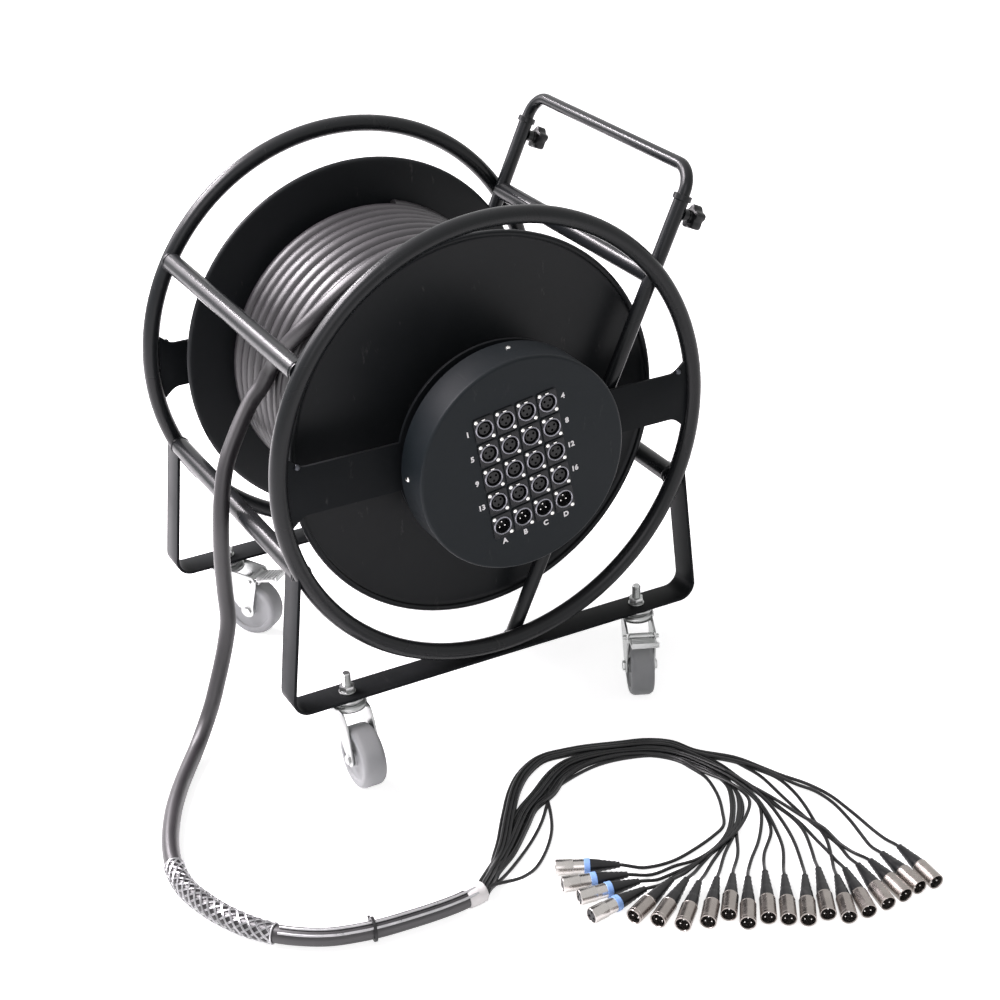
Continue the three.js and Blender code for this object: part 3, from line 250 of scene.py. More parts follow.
@dataclass(frozen=True)
class Finish:
    """A finish made of two close shades, a roughness range, grain, scratches and dust."""

    name: str
    shade: tuple[float, float, float]
    second: tuple[float, float, float]
    smooth: float
    rough: float
    metallic: float = 0.0
    specular: float = 0.5
    blotch_scale: float = 8.0
    grain_scale: float = 900.0
    grain_height: float = 0.000008
    scratch_scale: float = 60.0
    scratch_share: float = 0.15
    dust: float = 0.06
    dust_shade: tuple[float, float, float] = (0.25, 0.24, 0.23)

    def material(self) -> bpy.types.Material:
        """Makes the finish's material.

        Returns:
            The material, made once.
        """
        if self.name in bpy.data.materials:
            return bpy.data.materials[self.name]
        material = bpy.data.materials.new(self.name)
        material.use_nodes = True
        tree = material.node_tree
        link = tree.links.new
        skin = tree.nodes["Principled BSDF"]
        skin.inputs["Metallic"].default_value = self.metallic
        skin.inputs["Specular IOR Level"].default_value = self.specular
        place = add_node(tree, "ShaderNodeTexCoord")
        coating = add_node(tree, "ShaderNodeGroup", node_tree=coating_group(), Blotch_Scale=self.blotch_scale,
                           Grain_Scale=self.grain_scale, Scratch_Scale=self.scratch_scale)
        dust = add_node(tree, "ShaderNodeGroup", node_tree=dust_group())
        shades = self.mix(tree, coating.outputs["Blotch"], self.shade, self.second)
        worn = self.scaled(tree, coating.outputs["Scratch"], self.scratch_share)
        scuffed = self.mix(tree, worn, None, self.dust_shade)
        settled = self.scaled(tree, dust.outputs["Dust"], self.dust)
        dusted = self.mix(tree, settled, None, self.dust_shade)
        gloss = add_node(tree, "ShaderNodeMapRange", From_Min=BLOTCH_SPAN[0], From_Max=BLOTCH_SPAN[1],
                         To_Min=self.smooth, To_Max=self.rough)
        bump = add_node(tree, "ShaderNodeBump", Strength=1.0, Distance=self.grain_height)
        link(place.outputs["Object"], coating.inputs["Vector"])
        link(place.outputs["Object"], dust.inputs["Vector"])
        link(shades.outputs["Result"], scuffed.inputs["A"])
        link(scuffed.outputs["Result"], dusted.inputs["A"])
        link(dusted.outputs["Result"], skin.inputs["Base Color"])
        link(coating.outputs["Blotch"], gloss.inputs["Value"])
        link(gloss.outputs["Result"], skin.inputs["Roughness"])
        link(coating.outputs["Grain"], bump.inputs["Height"])
        link(bump.outputs["Normal"], skin.inputs["Normal"])
        return material

    def mix(self, tree: bpy.types.NodeTree, factor: bpy.types.NodeSocket,
            first: Optional[Point], second: Point) -> "MixPorts":
        """Adds a colour mix and returns its ports.

        Args:
            tree: The material's tree.
            factor: The socket that drives the mix.
            first: The first colour, or None where a link will give it.
            second: The second colour.

        Returns:
            The ports of the mix.
        """
        node = add_node(tree, "ShaderNodeMix", data_type="RGBA")
        ports = MixPorts(node)
        tree.links.new(factor, ports.inputs["Factor"])
        if first is not None:
            ports.inputs["A"].default_value = (*first, 1.0)
        ports.inputs["B"].default_value = (*second, 1.0)
        return ports

    def scaled(self, tree: bpy.types.NodeTree, value: bpy.types.NodeSocket,
               share: float) -> bpy.types.NodeSocket:
        """Adds a node that takes a share of a value.

        Args:
            tree: The material's tree.
            value: The socket that holds the value.
            share: The share that is kept.

        Returns:
            The socket that holds the share.
        """
        node = add_node(tree, "ShaderNodeMath", operation="MULTIPLY")
        tree.links.new(value, node.inputs[0])
        node.inputs[1].default_value = share
        return node.outputs["Value"]


class MixPorts:
    """The colour sockets of a mix node, by name."""

    def __init__(self, node: bpy.types.Node) -> None:
        """Finds the sockets that a colour mix uses.

        Args:
            node: The mix node.
        """
        colours = [s for s in node.inputs if s.type == "RGBA"]
        self.inputs = {"Factor": node.inputs[0], "A": colours[0], "B": colours[1]}
        self.outputs = {"Result": next(s for s in node.outputs if s.type == "RGBA")}


# Finishes of the part

TUBE_COAT = Finish(
    "tube_powder_coat", (0.0056, 0.0066, 0.0075), (0.0098, 0.0110, 0.0122), 0.22, 0.32, specular=0.24,
    blotch_scale=6.0, grain_scale=420.0, grain_height=0.000004, scratch_share=0.08)
BAR_COAT = Finish(
    "bar_powder_coat", (0.0056, 0.0068, 0.0078), (0.0098, 0.0112, 0.0124), 0.34, 0.46, specular=0.06,
    blotch_scale=6.0, grain_scale=700.0, grain_height=0.00004, scratch_share=0.08)
DRUM_COAT = Finish(
    "drum_powder_coat", (0.0070, 0.0082, 0.0092), (0.0120, 0.0134, 0.0148), 0.32, 0.46, specular=0.17,
    blotch_scale=4.0, grain_scale=600.0, grain_height=0.00004, scratch_share=0.12)
BOX_COAT = Finish(
    "box_powder_coat", (0.0050, 0.0076, 0.0096), (0.0080, 0.0112, 0.0136), 0.42, 0.52, specular=0.17,
    blotch_scale=9.0, grain_scale=900.0, grain_height=0.00004, scratch_share=0.07)
ZINC_PLATE = Finish(
    "zinc_plate", (0.40, 0.41, 0.41), (0.56, 0.57, 0.56), 0.24, 0.42, metallic=0.9,
    blotch_scale=40.0, grain_scale=1500.0, grain_height=0.00003, scratch_scale=140.0,
    dust_shade=(0.20, 0.20, 0.18))
WHEEL_RUBBER = Finish(
    "wheel_rubber", (0.27, 0.28, 0.285), (0.35, 0.36, 0.365), 0.48, 0.66, specular=0.35,
    blotch_scale=30.0, grain_scale=1200.0, dust=0.25, dust_shade=(0.42, 0.41, 0.40))
BLACK_PLASTIC = Finish(
    "moulded_black_plastic", (0.0055, 0.0060, 0.0065), (0.0095, 0.0100, 0.0110), 0.30, 0.44, specular=0.3,
    blotch_scale=50.0, grain_scale=1800.0)
CABLE_JACKET = Finish(
    "cable_jacket", (0.0086, 0.0080, 0.0093), (0.0170, 0.0154, 0.0175), 0.36, 0.47, specular=0.66,
    blotch_scale=14.0, grain_scale=600.0, grain_height=0.000004, scratch_scale=30.0, scratch_share=0.18,
    dust_shade=(0.28, 0.25, 0.27), dust=0.08)
TAIL_JACKET = Finish(
    "tail_jacket", (0.0060, 0.0068, 0.0072), (0.0110, 0.0118, 0.0122), 0.26, 0.38, specular=0.34,
    blotch_scale=40.0, grain_scale=1500.0, scratch_scale=80.0)
SHAFT_STEEL = Finish(
    "turned_steel", (0.16, 0.165, 0.17), (0.24, 0.245, 0.25), 0.3, 0.5, metallic=0.9,
    blotch_scale=60.0, grain_scale=1500.0)
SOCKET_COAT = Finish(
    "socket_black_chrome", (0.0075, 0.0082, 0.0100), (0.0130, 0.0140, 0.0165), 0.24, 0.34, metallic=0.2,
    specular=0.3, blotch_scale=60.0, grain_scale=2000.0)
SOCKET_RIM = Finish(
    "socket_polished_rim", (0.17, 0.17, 0.19), (0.27, 0.27, 0.30), 0.16, 0.26, metallic=0.9,
    blotch_scale=90.0, grain_scale=2000.0)
PLUG_NICKEL = Finish(
    "plug_satin_nickel", (0.26, 0.235, 0.22), (0.40, 0.365, 0.34), 0.2, 0.34, metallic=0.95,
    blotch_scale=70.0, grain_scale=2500.0, scratch_scale=200.0)
FEMALE_NICKEL = Finish(
    "female_satin_nickel", (0.42, 0.40, 0.385), (0.60, 0.575, 0.55), 0.18, 0.32, metallic=0.95,
    blotch_scale=70.0, grain_scale=2500.0, scratch_scale=200.0)
BRIGHT_METAL = Finish(
    "bright_nickel", (0.82, 0.81, 0.79), (0.92, 0.91, 0.88), 0.18, 0.30, metallic=1.0,
    blotch_scale=90.0, grain_scale=2500.0)
DULL_STEEL = Finish(
    "dull_black_steel", (0.045, 0.048, 0.056), (0.080, 0.084, 0.095), 0.28, 0.42, metallic=0.8,
    blotch_scale=90.0, grain_scale=1800.0)
BLUE_RING = Finish(
    "blue_ring", (0.20, 0.38, 0.76), (0.30, 0.48, 0.84), 0.34, 0.5, blotch_scale=80.0)
WHITE_MARK = Finish(
    "white_print", (0.82, 0.82, 0.82), (0.90, 0.90, 0.89), 0.5, 0.6, specular=0.3,
    blotch_scale=120.0, dust=0.0)
WHITE_TAPE = Finish(
    "white_tape", (0.66, 0.65, 0.64), (0.82, 0.81, 0.79), 0.4, 0.55, blotch_scale=60.0,
    grain_scale=1500.0, grain_height=0.0001)
GRIP_WIRE = Finish(
    "galvanised_wire", (0.34, 0.34, 0.35), (0.54, 0.54, 0.55), 0.26, 0.40, metallic=0.9,
    blotch_scale=90.0, grain_scale=2500.0)


# Curves


def smooth_path(points: Sequence[Point], spacing: float) -> list[Vector]:
    """Runs a centripetal Catmull-Rom curve through points.

    Args:
        points: The points to pass through, in order.
        spacing: The distance between samples, in the points' units.

    Returns:
        Samples along the curve, the first and last points included.
    """
    knots = [Vector(p) for p in points]
    knots = [2 * knots[0] - knots[1], *knots, 2 * knots[-1] - knots[-2]]
    path: list[Vector] = []
    for a, b, c, d in zip(knots, knots[1:], knots[2:], knots[3:]):
        count = max(2, round((c - b).length / spacing))
        path.extend(catmull_rom(a, b, c, d, k / count) for k in range(count))
    return [*path, knots[-2].copy()]


def catmull_rom(a: Vector, b: Vector, c: Vector, d: Vector, share: float) -> Vector:
    """Finds a point on the centripetal curve through four points.

    Args:
        a: The point before the stretch.
        b: The stretch's first point.
        c: The stretch's last point.
        d: The point after the stretch.
        share: How far from b to c the point lies, from 0 to 1.

    Returns:
        The point on the curve.
    """
    t0 = 0.0
    t1 = t0 + math.sqrt((b - a).length)
    t2 = t1 + math.sqrt((c - b).length)
    t3 = t2 + math.sqrt((d - c).length)
    t = t1 + (t2 - t1) * share
    ab = a.lerp(b, (t - t0) / (t1 - t0))
    bc = b.lerp(c, (t - t1) / (t2 - t1))
    cd = c.lerp(d, (t - t2) / (t3 - t2))
    return ab.lerp(bc, (t - t0) / (t2 - t0)).lerp(bc.lerp(cd, (t - t1) / (t3 - t1)), share)


def path_length(path: Sequence[Vector]) -> float:
    """Returns the length of a run of points."""
    return sum((b - a).length for a, b in zip(path, path[1:]))


def even_path(path: Sequence[Vector], count: int) -> list[Vector]:
    """Spreads points evenly along a path.

    Args:
        path: The path's points.
        count: The number of points wanted, the two ends included.

    Returns:
        The evenly spread points.
    """
    reach = [0.0]
    for a, b in zip(path, path[1:]):
        reach.append(reach[-1] + (b - a).length)
    spread, at = [], 0
    for k in range(count):
        want = reach[-1] * k / (count - 1)
        while at < len(path) - 2 and reach[at + 1] < want:
            at += 1
        span = reach[at + 1] - reach[at]
        spread.append(path[at].lerp(path[at + 1], (want - reach[at]) / span))
    return spread


def bent_path(corners: Sequence[Vector], radius: float, steps: int) -> list[Vector]:
    """Rounds the inner corners of a run of straight lines.

    Args:
        corners: The run's corners, its two ends included.
        radius: The bend radius.
        steps: The number of steps in each bend.

    Returns:
        Points along the rounded run.
    """
    path = [corners[0].copy()]
    for before, corner, after in zip(corners, corners[1:], corners[2:]):
        inward = (before - corner).normalized()
        onward = (after - corner).normalized()
        half = inward.angle(onward) / 2
        cut = radius / math.tan(half)
        middle = corner + (inward + onward).normalized() * (radius / math.sin(half))
        start = corner + inward * cut - middle
        end = corner + onward * cut - middle
        sweep = start.angle(end)
        for k in range(steps + 1):
            share = k / steps
            swung = start * math.sin((1 - share) * sweep) + end * math.sin(share * sweep)
            path.append(middle + swung / math.sin(sweep))
    return [*path, corners[-1].copy()]


def way_near(path: Sequence[Vector], spot: Vector, count: int) -> tuple[Vector, Vector]:
    """Finds where a path passes a spot.

    Args:
        path: The path's points.
        spot: The spot.
        count: The number of points that the direction is taken from.

    Returns:
        The path's point nearest to the spot, and the path's direction there.
    """
    near = sorted(path, key=lambda p: (p - spot).length)[:count]
    return near[0], (near[-1] - near[0]).normalized()


def heading(frame: Matrix) -> Vector:
    """Returns the direction of a path at one of its frames."""
    return (frame.to_3x3() @ UP).normalized()


# Shapes


def aim(start: Point, direction: Point) -> Matrix:
    """Returns the placement that carries the Y axis to a direction and the origin to a point."""
    turn = Vector((0.0, 1.0, 0.0)).rotation_difference(Vector(direction)).to_matrix().to_4x4()
    return Matrix.Translation(Vector(start)) @ turn


def shift(x: float, y: float, z: float) -> Matrix:
    """Returns the placement that shifts along the three axes."""
    return Matrix.Translation((x, y, z))


class Form:
    """A mesh under construction, in millimetres about the axle."""

    merge_within: float = 0.0005
    flat_from: float = 0.9

    def __init__(self) -> None:
        """Starts with an empty mesh."""
        self.mesh = bmesh.new()

    def adopt(self, part: bmesh.types.BMesh, where: Optional[Matrix] = None) -> list[bmesh.types.BMVert]:
        """Adds a finished part and frees its own mesh.

        Args:
            part: The part.
            where: The placement that it gets.

        Returns:
            The part's vertices in this form.
        """
        if where is not None:
            bmesh.ops.transform(part, matrix=where, space=Matrix.Identity(4), verts=part.verts)
        count = len(self.mesh.verts)
        data = bpy.data.meshes.new("part")
        part.to_mesh(data)
        part.free()
        self.mesh.from_mesh(data)
        bpy.data.meshes.remove(data)
        self.mesh.verts.ensure_lookup_table()
        return self.mesh.verts[count:]

    def turn(self, profile: Sequence[Point], steps: int = 48, where: Optional[Matrix] = None,
             ring: bool = False) -> list[bmesh.types.BMVert]:
        """Spins a profile round the Y axis.

        Args:
            profile: Pairs of radius and place along the axis, in order.
            steps: The number of steps in the full turn.
            where: The placement of the finished shape.
            ring: Whether the profile's last point joins its first.

        Returns:
            The new vertices.
        """
        mesh = bmesh.new()
        made = [mesh.verts.new((radius, along, 0.0)) for radius, along in profile]
        pairs = list(zip(made, made[1:])) + ([(made[-1], made[0])] if ring else [])
        edges = [mesh.edges.new(pair) for pair in pairs]
        bmesh.ops.spin(mesh, geom=made + edges, cent=(0, 0, 0), axis=(0, 1, 0), angle=FULL_TURN,
                       steps=steps, use_merge=True, use_duplicate=False)
        bmesh.ops.remove_doubles(mesh, verts=mesh.verts, dist=self.merge_within)
        return self.adopt(mesh, where)

    def sweep(self, path: Sequence[Vector], radius: float, sides: int = 16,
              radii: Optional[Sequence[float]] = None) -> list[bmesh.types.BMVert]:
        """Draws a round tube along a path, closed at both ends.

        Args:
            path: Points along the tube's middle.
            radius: The tube's radius.
            sides: The number of sides.
            radii: A radius for each point, where it changes along the tube.

        Returns:
            The new vertices.
        """
        mesh = bmesh.new()
        frames = self.frames(path)
        sizes = list(radii) if radii else [radius] * len(path)
        bmesh.ops.create_circle(mesh, cap_ends=False, segments=sides, radius=sizes[0], matrix=frames[0])
        ring = first = list(mesh.edges)
        for before, after, small, big in zip(frames, frames[1:], sizes, sizes[1:]):
            grown = bmesh.ops.extrude_edge_only(mesh, edges=ring)["geom"]
            verts = [item for item in grown if isinstance(item, bmesh.types.BMVert)]
            ring = [item for item in grown if isinstance(item, bmesh.types.BMEdge)]
            step = after @ Matrix.Scale(big / small, 4) @ before.inverted()
            bmesh.ops.transform(mesh, matrix=step, space=Matrix.Identity(4), verts=verts)
        bmesh.ops.edgeloop_fill(mesh, edges=first)
        bmesh.ops.edgeloop_fill(mesh, edges=ring)
        return self.adopt(mesh)

    @staticmethod
    def frames(path: Sequence[Vector]) -> list[Matrix]:
        """Sets a frame at each point of a path, turned as little as possible from one to the next.

        Args:
            path: The path's points.

        Returns:
            The frames, each with its Z axis along the path.
        """
        ways = [(b - a).normalized() for a, b in zip(path, path[1:])]
        aims = [ways[0], *((a + b).normalized() for a, b in zip(ways, ways[1:])), ways[-1]]
        turn = UP.rotation_difference(aims[0])
        frames, last = [], aims[0]
        for point, way in zip(path, aims):
            turn = last.rotation_difference(way) @ turn
            frames.append(Matrix.Translation(point) @ turn.to_matrix().to_4x4())
            last = way
        return frames

    def plate(self, outline: Sequence[Point], thickness: float, holes: Sequence[Sequence[Point]] = (),
              bevel: float = 0.0, where: Optional[Matrix] = None) -> list[bmesh.types.BMVert]:
        """Thickens an outline in X and Z along Y, from zero.

        Args:
            outline: Points of the outer edge.
            thickness: The reach along Y.
            holes: Outlines of holes.
            bevel: The width of the bevel on both rims.
            where: The placement of the finished plate.

        Returns:
            The new vertices.
        """
        mesh = bmesh.new()
        edges: list[bmesh.types.BMEdge] = []
        for loop in (outline, *holes):
            made = [mesh.verts.new((x, 0.0, z)) for x, z in loop]
            edges.extend(mesh.edges.new(pair) for pair in zip(made, made[1:] + made[:1]))
        filled = bmesh.ops.triangle_fill(mesh, use_beauty=True, use_dissolve=False, edges=edges)["geom"]
        faces = [item for item in filled if isinstance(item, bmesh.types.BMFace)]
        grown = bmesh.ops.extrude_face_region(mesh, geom=faces, use_keep_orig=True)["geom"]
        raised = [item for item in grown if isinstance(item, bmesh.types.BMVert)]
        bmesh.ops.translate(mesh, vec=(0.0, thickness, 0.0), verts=raised)
        if bevel:
            mesh.normal_update()
            self.round_edges(mesh, [edge for edge in mesh.edges if self.is_rim(edge)], bevel)
        return self.adopt(mesh, where)

    @staticmethod
    def round_edges(mesh: bmesh.types.BMesh, edges: Iterable[bmesh.types.BMEdge], width: float) -> None:
        """Bevels some edges of a mesh."""
        bmesh.ops.bevel(mesh, geom=edges, offset=width, segments=2, profile=0.5, affect="EDGES", material=-1)

    def is_rim(self, edge: bmesh.types.BMEdge) -> bool:
        """Tells whether an edge joins a plate's flat face to its side.

        Args:
            edge: An edge of the plate.

        Returns:
            Whether one of its faces is flat and the other is not.
        """
        if len(edge.link_faces) != 2:
            return False
        first, second = (abs(face.normal.y) > self.flat_from for face in edge.link_faces)
        return first != second

    def block(self, size: Point, bevel: float, where: Matrix) -> list[bmesh.types.BMVert]:
        """Draws a block with rounded edges about its middle.

        Args:
            size: Its reach along each axis.
            bevel: The width of the bevel on its edges.
            where: The placement of the finished block.

        Returns:
            The new vertices.
        """
        mesh = bmesh.new()
        bmesh.ops.create_cube(mesh, size=1.0, matrix=Matrix.Diagonal((*size, 1.0)))
        self.round_edges(mesh, mesh.edges, bevel)
        return self.adopt(mesh, where)

    def to_object(self, name: str, finish: Finish, body: str, slot: Slot,
                  replaced: Sequence[str] = (), sharp: float = 32.0) -> bpy.types.Object:
        """Ends the mesh as a piece of the part.

        Args:
            name: The piece's name.
            finish: The piece's finish.
            body: The body that it rides on.
            slot: The record's material slot; not used.
            replaced: The solids that it stands for.
            sharp: The angle in degrees above which an edge is drawn sharp.

        Returns:
            The piece.
        """
        mesh = self.mesh
        bmesh.ops.recalc_face_normals(mesh, faces=mesh.faces)
        limit = math.radians(sharp)
        for face in mesh.faces:
            face.smooth = True
        for edge in mesh.edges:
            edge.smooth = len(edge.link_faces) == 2 and edge.calc_face_angle(0.0) < limit
        to_row = Matrix.Translation(LAYOUT.axle) @ Matrix.Scale(MM, 4)
        bmesh.ops.transform(mesh, matrix=to_row, space=Matrix.Identity(4), verts=mesh.verts)
        data = bpy.data.meshes.new(name)
        mesh.to_mesh(data)
        mesh.free()
        piece = bpy.data.objects.new(name, data)
        bpy.context.scene.collection.objects.link(piece)
        data.materials.append(finish.material())
        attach(piece, body)
        if replaced:
            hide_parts(*replaced)
        LOG.info("piece %s: %d faces on %s", name, len(data.polygons), body)
        return piece


def arc(centre: Point, radius: float, first: float, last: float, steps: int) -> Outline:
    """Draws part of a circle.

    Args:
        centre: Its middle.
        radius: Its radius.
        first: The angle where it starts.
        last: The angle where it ends.
        steps: The number of steps between them.

    Returns:
        The points, both ends included.
    """
    turns = [first + (last - first) * k / steps for k in range(steps + 1)]
    return [(centre[0] + radius * math.cos(t), centre[1] + radius * math.sin(t)) for t in turns]


def circle(radius: float, steps: int, centre: Point = (0.0, 0.0), start: float = 0.0) -> Outline:
    """Returns the points of a round outline."""
    return arc(centre, radius, start, start + FULL_TURN, steps)[:-1]


def band(inner: float, outer: float, start: float, end: float, edge: Optional[Point] = None) -> Outline:
    """Draws the profile of a ring, or of a disc where its inner radius is 0.

    Args:
        inner: The inner radius.
        outer: The outer radius.
        start: Where it starts along the axis.
        end: Where it ends.
        edge: How far its outer edges are cut back across and along the axis.

    Returns:
        Pairs of radius and place along the axis.
    """
    if edge is None:
        return [(inner, start), (outer, start), (outer, end), (inner, end)]
    across, along = edge
    return [(inner, start), (outer - across, start), (outer, start + along), (outer, end - along),
            (outer - across, end), (inner, end)]


# Camera, light and floor


@dataclass(frozen=True)
class Lamp:
    """A soft lamp: its place about the axle, its width and height in metres, and its power in watts."""

    name: str
    place: Point
    size: Point
    power: float


@dataclass
class Studio:
    """The photo's camera, the floor and the soft studio light."""

    camera_place: Point = (-997.6, -1889.4, 1031.1)
    azimuth: float = -27.922
    elevation: float = 27.462
    roll: float = -1.444
    lens: float = 70.83
    sensor: float = 36.0
    sight: float = 200.0
    floor_half: float = 40.0
    floor_shade: float = 0.80
    floor_rough: float = 0.9
    floor_lift: float = 0.76
    world_share: float = 0.31
    lamp_tint: Point = (1.0, 0.94, 0.99)
    lamp_target: Point = (0, 200, 0)
    lamps: Sequence[Lamp] = (
        Lamp("lamp_key", (-1540, 940, 2120), (1.5, 1.1), 158.0),
        Lamp("lamp_behind", (-1550, 2050, 1350), (1.9, 1.3), 40.0),
        Lamp("lamp_strip", (-972, 2307, 1590), (0.9, 0.2), 64.0),
        Lamp("lamp_front", (-1300, -2300, 1500), (1.6, 1.6), 15.0),
    )

    def place_camera(self) -> None:
        """Adds the camera where the photo was taken from."""
        a, e, roll = (math.radians(v) for v in (self.azimuth, self.elevation, self.roll))
        forward = Vector((-math.sin(a) * math.cos(e), math.cos(a) * math.cos(e), -math.sin(e)))
        level = Vector((math.cos(a), math.sin(a), 0.0))
        upright = level.cross(forward)
        right = math.cos(roll) * level + math.sin(roll) * upright
        up = math.cos(roll) * upright - math.sin(roll) * level
        data = bpy.data.cameras.new("camera")
        data.lens = self.lens
        data.sensor_width = self.sensor
        data.clip_end = self.sight
        camera = bpy.data.objects.new("camera", data)
        turn = Matrix((right, up, -forward)).transposed().to_4x4()
        camera.matrix_world = Matrix.Translation(LAYOUT.metres(self.camera_place)) @ turn
        bpy.context.scene.collection.objects.link(camera)
        bpy.context.scene.camera = camera

    def lay_floor(self) -> None:
        """Adds the pale floor that takes the shadows."""
        mesh = bmesh.new()
        bmesh.ops.create_grid(mesh, x_segments=1, y_segments=1, size=self.floor_half)
        data = bpy.data.meshes.new("floor")
        mesh.to_mesh(data)
        mesh.free()
        floor = bpy.data.objects.new("floor", data)
        bpy.context.scene.collection.objects.link(floor)
        material = bpy.data.materials.new("studio_floor")
        material.use_nodes = True
        tree = material.node_tree
        skin = tree.nodes["Principled BSDF"]
        skin.inputs["Base Color"].default_value = (self.floor_shade, self.floor_shade, self.floor_shade, 1.0)
        skin.inputs["Roughness"].default_value = self.floor_rough
        skin.inputs["Specular IOR Level"].default_value = 0.0
        skin.inputs["Emission Color"].default_value = (1.0, 1.0, 1.0, 1.0)
        lift = add_node(tree, "ShaderNodeMath", operation="MULTIPLY")
        lift.inputs[1].default_value = self.floor_lift
        tree.links.new(self.seen_directly(tree), lift.inputs[0])
        tree.links.new(lift.outputs["Value"], skin.inputs["Emission Strength"])
        data.materials.append(material)

    def seen_directly(self, tree: bpy.types.NodeTree) -> bpy.types.NodeSocket:
        """Tells the rays that look at a surface from the light that it scatters.

        Args:
            tree: The tree that takes the nodes.

        Returns:
            A socket that is 1 for camera, mirrored and see-through rays and 0 for scattered light.
        """
        ray = add_node(tree, "ShaderNodeLightPath")
        seen = ray.outputs["Is Camera Ray"]
        for kind in ("Is Glossy Ray", "Is Transmission Ray"):
            larger = add_node(tree, "ShaderNodeMath", operation="MAXIMUM")
            tree.links.new(seen, larger.inputs[0])
            tree.links.new(ray.outputs[kind], larger.inputs[1])
            seen = larger.outputs["Value"]
        return seen

    def light_world(self) -> None:
        """Makes the world white to the camera and softer as a light."""
        world = bpy.data.worlds.new("studio_world")
        bpy.context.scene.world = world
        world.use_nodes = True
        tree = world.node_tree
        back = tree.nodes["Background"]
        back.inputs["Color"].default_value = (1.0, 1.0, 1.0, 1.0)
        level = add_node(tree, "ShaderNodeMapRange", To_Min=self.world_share, To_Max=1.0)
        tree.links.new(self.seen_directly(tree), level.inputs["Value"])
        tree.links.new(level.outputs["Result"], back.inputs["Strength"])

    def add_lamp(self, lamp: Lamp) -> None:
        """Adds a soft lamp that faces the part.

        Args:
            lamp: The lamp's place, size and power.
        """
        data = bpy.data.lights.new(lamp.name, "AREA")
        data.shape = "RECTANGLE"
        data.size, data.size_y = lamp.size
        data.energy = lamp.power
        data.color = self.lamp_tint
        item = bpy.data.objects.new(lamp.name, data)
        way = Vector(self.lamp_target) - Vector(lamp.place)
        facing = way.to_track_quat("-Z", "Y").to_matrix().to_4x4()
        item.matrix_world = Matrix.Translation(LAYOUT.metres(lamp.place)) @ facing
        bpy.context.scene.collection.objects.link(item)

    def build(self) -> None:
        """Adds the camera, the floor and the lights."""
        self.place_camera()
        self.lay_floor()
        self.light_world()
        for lamp in self.lamps:
            self.add_lamp(lamp)
        bpy.context.scene.view_settings.view_transform = "Standard"
        LOG.info("studio: camera, floor, world and %d lamps", len(self.lamps))


# Free cable, wire grip, tape, tails and plugs


